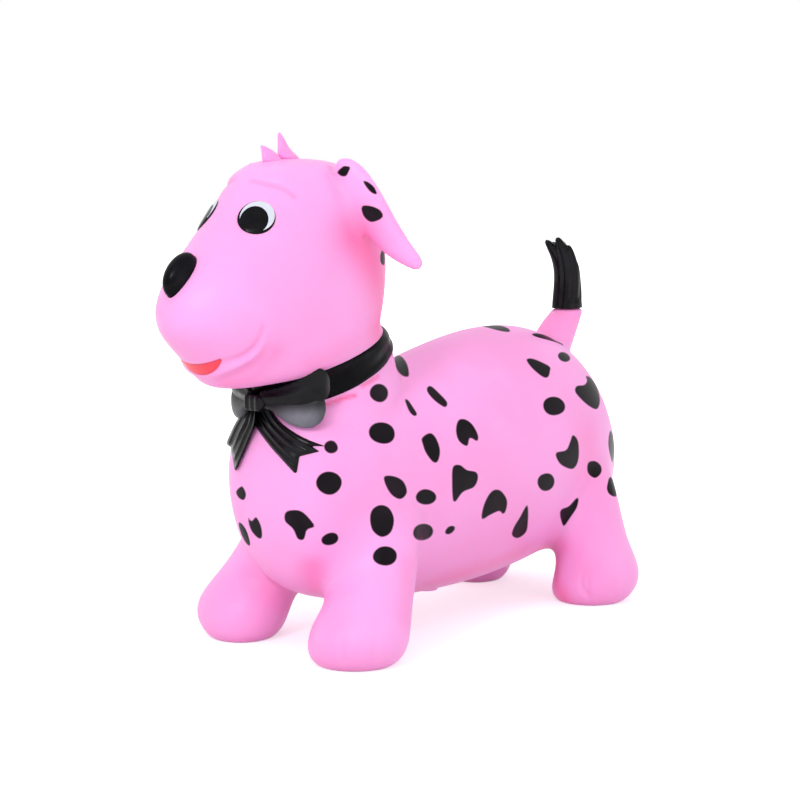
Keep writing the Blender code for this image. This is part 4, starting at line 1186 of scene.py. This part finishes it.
# Tail tuft: locks that part at the top, moulded together
# per lock: pixels up its middle from root to tip, then in millimetres how far it stands towards the camera
# and its radius; the last one is the short core that the others stand round
TUFT_LOCKS = (
    (((556.5, 320), (560.0, 292), (560.8, 272), (556.8, 255), (543.5, 238.5)), 3.0, 8.2),
    (((563.0, 320), (566.2, 292), (567.0, 272), (563.5, 253), (555.5, 235.5)), 7.5, 8.4),
    (((570.0, 320), (572.0, 292), (572.4, 274), (570.2, 258), (567.5, 243.5)), 7.0, 8.0),
    (((576.5, 320), (577.2, 294), (576.0, 281), (576.0, 271), (576.5, 260)), 3.0, 6.0),
    (((576.0, 320), (576.2, 294), (575.2, 281), (575.2, 271), (575.5, 261)), -3.0, 7.2),
    (((558.5, 320), (561.5, 292), (562.0, 272), (559.0, 255), (551.0, 241)), -5.0, 8.4),
    (((566.0, 320), (569.0, 292), (569.5, 272), (566.5, 256), (561.5, 240)), -8.0, 8.2),
    (((572.0, 320), (573.5, 292), (573.2, 273), (572.0, 260), (570.5, 248)), -6.5, 7.8),
    (((565.8, 320), (566.4, 309), (567.0, 304.5), (567.5, 299), (568.0, 293)), 0.0, 17.2),
)
TUFT_MIDDLES = (566.3, 568.0, 568.0, 565.5, 561.5)
LOCK_SWELL_SHARES = (1.06, 1.06, 1.02, 0.90, 0.44)
TUFT_VOXEL = 0.0011
# the cut where it meets the stem: its middle, and two pixels along the stem
STEM_CUT = (566.3, 307.4)
STEM_ALONG = ((566.5, 316), (566.5, 300))
camera_level = Vector((camera_back.x, camera_back.y, 0)).normalized()
locks = []
for index, (marks, offset, radius) in enumerate(TUFT_LOCKS):
    line = [on_middle(middle, v) + camera_right * ((u - middle) * PIXEL) + camera_level * (offset / 1000)
            for middle, (u, v) in zip(TUFT_MIDDLES, marks)]
    rings = []
    for before, centre, after, swell in zip([line[0], *line], line, [*line[1:], line[-1]], LOCK_SWELL_SHARES):
        back = (after - before).normalized().cross(SIDE).normalized()
        size = radius / 1000 * swell
        rings.append(ring(centre, SIDE, back, size, size))
    locks.append(loft_mesh(f"lock_{index}", rings, 2))
bm = bmesh.new()
bm.from_mesh(union_mesh(locks, TUFT_VOXEL, 8))
low, high = (on_middle(*pixel) for pixel in STEM_ALONG)
cut = bmesh.ops.bisect_plane(bm, geom=bm.verts[:] + bm.edges[:] + bm.faces[:], plane_co=on_middle(*STEM_CUT),
                             plane_no=(high - low).normalized(), clear_inner=True)
bmesh.ops.holes_fill(bm, edges=[e for e in cut["geom_cut"] if isinstance(e, bmesh.types.BMEdge)], sides=0)
on_body(linked("tuft_locks", finished(mesh_of(bm, "tuft"), BLACK_TUFT)), "tail_tuft", body="tail")

# Collar: a soft band round the neck, wider at the throat than at the nape
COLLAR_HALF_HEIGHTS = (0.0122, 0.0150, 0.0172)
COLLAR_THICK = 0.0023
COLLAR_CREASE = 0.0006
COLLAR_CLEAR = 0.0004
COLLAR_TILT = math.radians(-20.0)
COLLAR_Z = 0.2885
COLLAR_REACH = 0.092
COLLAR_STEPS = 96
COLLAR_ROWS = 13
neck_place = Vector((0, NECK_Y, COLLAR_Z))
neck_turn = Matrix.Rotation(-COLLAR_TILT, 3, "X")
neck_ahead, neck_along = neck_turn @ FRONT, neck_turn @ UP
rows = []
for angle in turns(COLLAR_STEPS):
    outward = (SIDE * math.cos(angle) + neck_ahead * math.sin(angle)).normalized()
    half_height = np.interp(math.sin(angle), (-1, 0, 1), COLLAR_HALF_HEIGHTS)
    row = []
    for share in np.linspace(-1, 1, COLLAR_ROWS):
        start = neck_place + neck_along * (half_height * share)
        hit = cast(start, outward, COLLAR_REACH)
        place = hit[0] if hit else start + outward * COLLAR_REACH
        edge = (1 - abs(share) ** 4) ** 0.5
        crease = COLLAR_CREASE * math.sin(share * 5.5 + 1.2 * math.sin(angle * 3 + 0.6)) * (1 - abs(share))
        thick = COLLAR_THICK * edge + crease + COLLAR_CLEAR
        row.append((place - outward * RELIEF_SINK, place + outward * thick))
    rows.append(row)
on_body(relief("collar_band", rows, BLACK_COLLAR, closed=True), "collar")

# Bow
GRAZING_SHARE = 0.35
SEARCH_FROM = 1.80
SEARCH_STEP = 0.006
BOW_START = Vector((0.0, -0.1990, 0.250))
BOW_END = Vector((0.0700, -0.1688, 0.250))
bow_along = (BOW_END - BOW_START).normalized()
bow_face = bow_along.cross(UP)


def on_bow(u, v, stand):
    """The place at a pixel that stands this far off the upright plane of the left half of the bow."""
    ray = pixel_ray(u, v)
    start = BOW_START + bow_face * stand
    return camera_place + ray * ((start - camera_place).dot(bow_face) / ray.dot(bow_face))


def off_skin(u, v, stand):
    """The place at a pixel that stands this far off the skin, also just beside the skin's outline."""
    ray = pixel_ray(u, v)
    hit = on_skin(u, v)
    if hit:
        return hit[0] - ray * (stand / max(-ray.dot(hit[1]), GRAZING_SHARE))
    tries = [camera_place + ray * (SEARCH_FROM + SEARCH_STEP * step) for step in range(60)]
    return min(tries, key=lambda place: abs(surface.find_nearest(place)[3] - stand))


# Puffs of ribbon on the dog's left: upper and lower edge in pixels, then the stand-off of each edge and the
# half thickness in millimetres, from the knot outwards
UPPER_PUFF = (
    (260, 391, 261, 404, 2.0, 2.0, 4.0), (274, 387, 275, 406, 2.0, 1.0, 5.0),
    (288, 382, 290, 407, 3.5, 0.5, 5.5), (301, 374.5, 304, 407, 6.0, 0.0, 6.0),
    (312, 367.5, 316, 403.5, 7.5, -0.5, 5.0), (321, 368.5, 323.5, 401, 5.0, -2.0, 3.4),
    (327, 373, 328, 396, 0.0, -5.0, 2.0), (330, 380, 330.3, 389, -6.0, -8.0, 0.6),
)
LOWER_PUFF = (
    (262, 400, 261, 408, 0.0, 0.0, 3.0), (275, 401, 273, 411, 0.0, 0.0, 4.5),
    (289, 401, 285, 421, -0.5, -0.5, 6.0), (303, 400, 298, 427, -1.0, -1.0, 7.0),
    (315, 397, 312, 428, -1.5, -1.5, 6.5), (322, 397, 322, 421, -2.5, -2.5, 4.5),
    (325.5, 402, 325.5, 412, -4.5, -4.5, 1.8),
)
# where the painted sheen lies, in pixels: growing downwards and out from the knot, fading at the end
PUFF_LIT_DOWN = (402, 418)
PUFF_LIT_OUT = (268, 292)
PUFF_LIT_END = (312, 326)
RIGHT_LIT_SHARE = 0.25
PUFF_STEPS = 20
PUFF_AROUND = 36


def puff_mesh(name, table, folds, depth, phase, material):
    """A puffed fold of ribbon: pleats fan out from the knot and fade towards the bulging end."""
    rings = []
    for share in np.linspace(0, 1, PUFF_STEPS + 1):
        u1, v1, u2, v2, upper_stand, lower_stand, thick = blend_rows(table, share)
        upper, lower = on_bow(u1, v1, upper_stand / 1000), on_bow(u2, v2, lower_stand / 1000)
        half, centre = (upper - lower) / 2, (upper + lower) / 2
        out = (bow_face - half * (bow_face.dot(half) / half.length_squared)).normalized()
        fade = (1 - share) ** 0.7 * min(1.0, share * 6 + 0.3)
        corners = []
        for angle in turns(PUFF_AROUND):
            rise, front = math.sin(angle), math.cos(angle)
            pleat = math.cos(rise * math.pi * folds + phase) * depth * fade if front > 0 else 0.0
            bulge = thick / 1000 * abs(front) ** 0.85 * (1 if front > 0 else -0.8)
            corners.append(centre + half * rise + out * (bulge + pleat * front))
        rings.append(corners)
    mesh = finished(loft_mesh(name, rings, 1), material)
    # painted sheen: the satin inside of the ribbon is painted grey, as if it caught the light, away from the
    # knot and below the upper fold
    seen = pixels_of(coordinates(mesh))
    add_values(mesh, "lit", smoothstep(*PUFF_LIT_DOWN, seen[:, 1]) * smoothstep(*PUFF_LIT_OUT, seen[:, 0])
               * (1 - 0.6 * smoothstep(*PUFF_LIT_END, seen[:, 0])))
    return linked(name, mesh)


# edges, pleats, their depth and where they start
PUFFS = (("upper_puff", UPPER_PUFF, 1.6, 0.0010, 0.4, BLACK_RIBBON),
         ("lower_puff", LOWER_PUFF, 1.0, 0.0005, 1.8, SHEEN_PAINTED_RIBBON))
for piece, table, folds, depth, phase, material in PUFFS:
    left = puff_mesh("bow_left_" + piece, table, folds, depth, phase, material)
    on_body(left, "bow_left_loop")
    right = mirror_of(left, "bow_right_" + piece)
    # the mirrored loop keeps only a share of the painted sheen
    for value in right.data.attributes["lit"].data:
        value.value *= RIGHT_LIT_SHARE
    on_body(right, "bow_right_loop")

# Ribbon ends: both edges in pixels from the knot down, and the swallow-tail's outline from edge to edge
LEFT_END = (
    ((250, 404), (254.5, 424), (268, 444), (282, 460), (294.5, 473.5)),
    ((268, 404), (278, 419), (291, 430), (307, 439), (327, 446.5)),
    ((-1.0, 294.5, 473.5), (-0.88, 297.0, 472.5), (-0.20, 299.5, 456.5), (0.58, 320.0, 451.5),
     (0.80, 311.0, 446.0), (1.0, 327.0, 446.5)),
    (-0.86, -0.42, 0.10, 0.62, 0.93),
)
RIGHT_END = (
    ((243, 405), (239, 416), (233, 427), (229, 436), (226.0, 443.5)),
    ((257, 405), (256, 424), (250, 440), (243, 456), (236.0, 470.5)),
    ((-1.0, 226.0, 443.5), (-0.75, 228.0, 445.5), (-0.45, 230.5, 447.0), (0.70, 234.5, 470.0),
     (1.0, 236.0, 470.5)),
    (-0.80, -0.25, 0.25, 0.72),
)
# the dog's-right end hangs over the edge of the chest: three pixels of its sheet, with their stand-offs
RIGHT_SHEET = ((250, 412, 0.004), (238, 466, 0.0015), (227, 443, 0.004))
sheet = [off_skin(*mark)[0] for mark in RIGHT_SHEET]
sheet = [off_skin(*mark) for mark in RIGHT_SHEET]
sheet_face = (sheet[1] - sheet[0]).cross(sheet[2] - sheet[0]).normalized()
if sheet_face.dot(camera_back) < 0:
    sheet_face = -sheet_face
END_ROWS = 30
END_COLUMNS = 33

SHEET_BLEND = 0.003
END_THICK = 0.0016
END_GATHER = 0.0022
END_PLEAT = 0.0017
END_PLEAT_HALF_SHARE = 0.13
END_CLEAR = 0.0003


def on_sheet(u, v, stand):
    """The place at a pixel on the right end's sheet, or in front of the skin where that is nearer."""
    ray = pixel_ray(u, v)
    start = sheet[0] + sheet_face * stand
    reach = (start - camera_place).dot(sheet_face) / ray.dot(sheet_face)
    hit = on_skin(u, v)
    if hit:
        skin_reach = (hit[0] - camera_place).length - stand / max(-ray.dot(hit[1]), GRAZING_SHARE)
        # a soft choice of the nearer one
        reach = skin_reach - SHEET_BLEND * math.log(math.exp(-(reach - skin_reach) / SHEET_BLEND) + 1)
    return camera_place + ray * reach


def ribbon_end(name, table, place_at):
    """A ribbon end with lengthwise pleats, cut to points."""
    near_edge, far_edge, tips, ridges = table
    tip_across, *tip_places = zip(*tips)
    rows = []
    for share in np.linspace(0, 1, END_ROWS):
        row = []
        for across in np.linspace(-1, 1, END_COLUMNS):
            side = (across + 1) / 2
            here = blend_rows(near_edge, share) * (1 - side) + blend_rows(far_edge, share) * side
            last = np.array(near_edge[-1]) * (1 - side) + np.array(far_edge[-1]) * side
            tip = np.array([np.interp(across, tip_across, places) for places in tip_places])
            u, v = here + (tip - last) * share ** 2
            rim = max(1 - abs(across) ** 8, 0.0) ** 0.5 * min(1.0, (1 - share) * 9 + 0.12)
            pleat = sum(math.exp(-((across - ridge) / END_PLEAT_HALF_SHARE) ** 2) for ridge in ridges)
            height = END_THICK + END_GATHER * (1 - share) + END_PLEAT * pleat * (1 - 0.35 * share)
            row.append((place_at(u, v, -RELIEF_SINK), place_at(u, v, height * rim + END_CLEAR)))
        rows.append(row)
    return relief(name, rows, BLACK_RIBBON)


on_body(ribbon_end("bow_left_end", LEFT_END, off_skin), "bow_left_tail")
on_body(ribbon_end("bow_right_end", RIGHT_END, on_sheet), "bow_right_tail")

# knot: a gathered square cushion with a rolled rim
KNOT_PIXEL = (256.5, 402.3)
KNOT_HALF_WIDTH = 0.0122
KNOT_HALF_HEIGHT = 0.0082
KNOT_PROUD = 0.0075
KNOT_STEPS = 20
KNOT_AROUND = 40
knot_centre = on_middle(*KNOT_PIXEL)
knot_normal = on_skin(*KNOT_PIXEL)[1]
knot_out = Vector((0, knot_normal.y, knot_normal.z)).normalized()
knot_up = knot_out.cross(SIDE)
rings = []
for share in np.linspace(-1, 1, KNOT_STEPS + 1):
    bulge = max(1 - abs(share) ** 6, 0.03) ** 0.5
    corners = []
    for angle in turns(KNOT_AROUND):
        rise, front = math.sin(angle), math.cos(angle)
        square = bulge * (abs(rise) ** 5 + abs(front) ** 5) ** (-1 / 5)
        rim = 1 + 0.16 * math.exp(-((abs(share) - 0.78) / 0.16) ** 2) * (front > 0)
        gather = 1 + 0.05 * math.cos(share * 11) * (front > 0)
        corners.append(knot_centre + SIDE * (KNOT_HALF_WIDTH * share)
                       + knot_up * (KNOT_HALF_HEIGHT * rise * square)
                       + knot_out * (KNOT_PROUD * front * square * rim * gather))
    rings.append(corners)
knot = finished(loft_mesh("bow_knot_cushion", rings, 1), BLACK_RIBBON)
on_body(linked("bow_knot_cushion", knot), "bow_knot")

# Valve: the CAD's own seat and plug, in the materials they are moulded in
for node, material in (("valve_seat", SEAT), ("valve_plug", PLUG)):
    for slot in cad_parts[node].material_slots:
        slot.material = material


# Stage
def area_light(name, place, target_z, size, power):
    """A square lamp that looks at a height on the dog's middle."""
    data = bpy.data.lights.new(name, "AREA")
    data.size = size
    data.energy = power
    aim(linked(name, data), place, Vector((0, 0, target_z)) - Vector(place))


area_light("key", (1.05, -2.15, 1.95), 0.25, 1.2, 7)
area_light("fill", (2.5, -0.3, 0.75), 0.20, 1.8, 7)
area_light("top", (-0.5, 0.1, 2.7), 0.25, 1.6, 2)
area_light("gleam", (0.45, -1.55, 1.20), 0.25, 0.24, 7)


def calculated(tree, operation, first, second):
    return add_node(tree, "Math", ((0, first), (1, second)), operation=operation)["Value"]


def seen_plainly(tree):
    """1 for rays from the camera, off gloss and through clear parts; 0 for the light on the object."""
    rays = add_node(tree, "LightPath")
    either = calculated(tree, "MAXIMUM", rays["Is Camera Ray"], rays["Is Glossy Ray"])
    return calculated(tree, "MAXIMUM", either, rays["Is Transmission Ray"])


WORLD_LIGHT = 0.88
WHITE = (1.0, 1.0, 1.0)
world = bpy.data.worlds.new("studio")
bpy.context.scene.world = world
world.use_nodes = True
background = world.node_tree.nodes["Background"].inputs
feed(world.node_tree, background["Color"], WHITE)
feed(world.node_tree, background["Strength"],
     span(world.node_tree, seen_plainly(world.node_tree), 0.0, 1.0, WORLD_LIGHT, 1.0))

# the floor runs into the white background: its own glow grows away from the dog, and lights nothing
FLOOR_SIZE = 6.0
FLOOR_GREY = (0.82, 0.82, 0.82)
FLOOR_GLOW = (0.50, 1.0)
FLOOR_GLOW_REACH = (0.30, 1.3)
bm = bmesh.new()
bmesh.ops.create_grid(bm, x_segments=1, y_segments=1, size=FLOOR_SIZE)
floor_mesh = mesh_of(bm, "floor")
floor = linked("floor", floor_mesh)
floor_material, floor_tree, dress_floor = new_material("floor_white", 0.9, specular_ior_level=0.1)
place = add_node(floor_tree, "TexCoord")["Object"]
away = add_node(floor_tree, "VectorMath", ((0, place),), operation="LENGTH")["Value"]
glow = span(floor_tree, away, *FLOOR_GLOW_REACH, *FLOOR_GLOW)
dress_floor(base_color=FLOOR_GREY, emission_color=WHITE,
            emission_strength=calculated(floor_tree, "MULTIPLY", glow, seen_plainly(floor_tree)))
floor_mesh.materials.append(floor_material)

bpy.context.scene.view_settings.view_transform = "Standard"
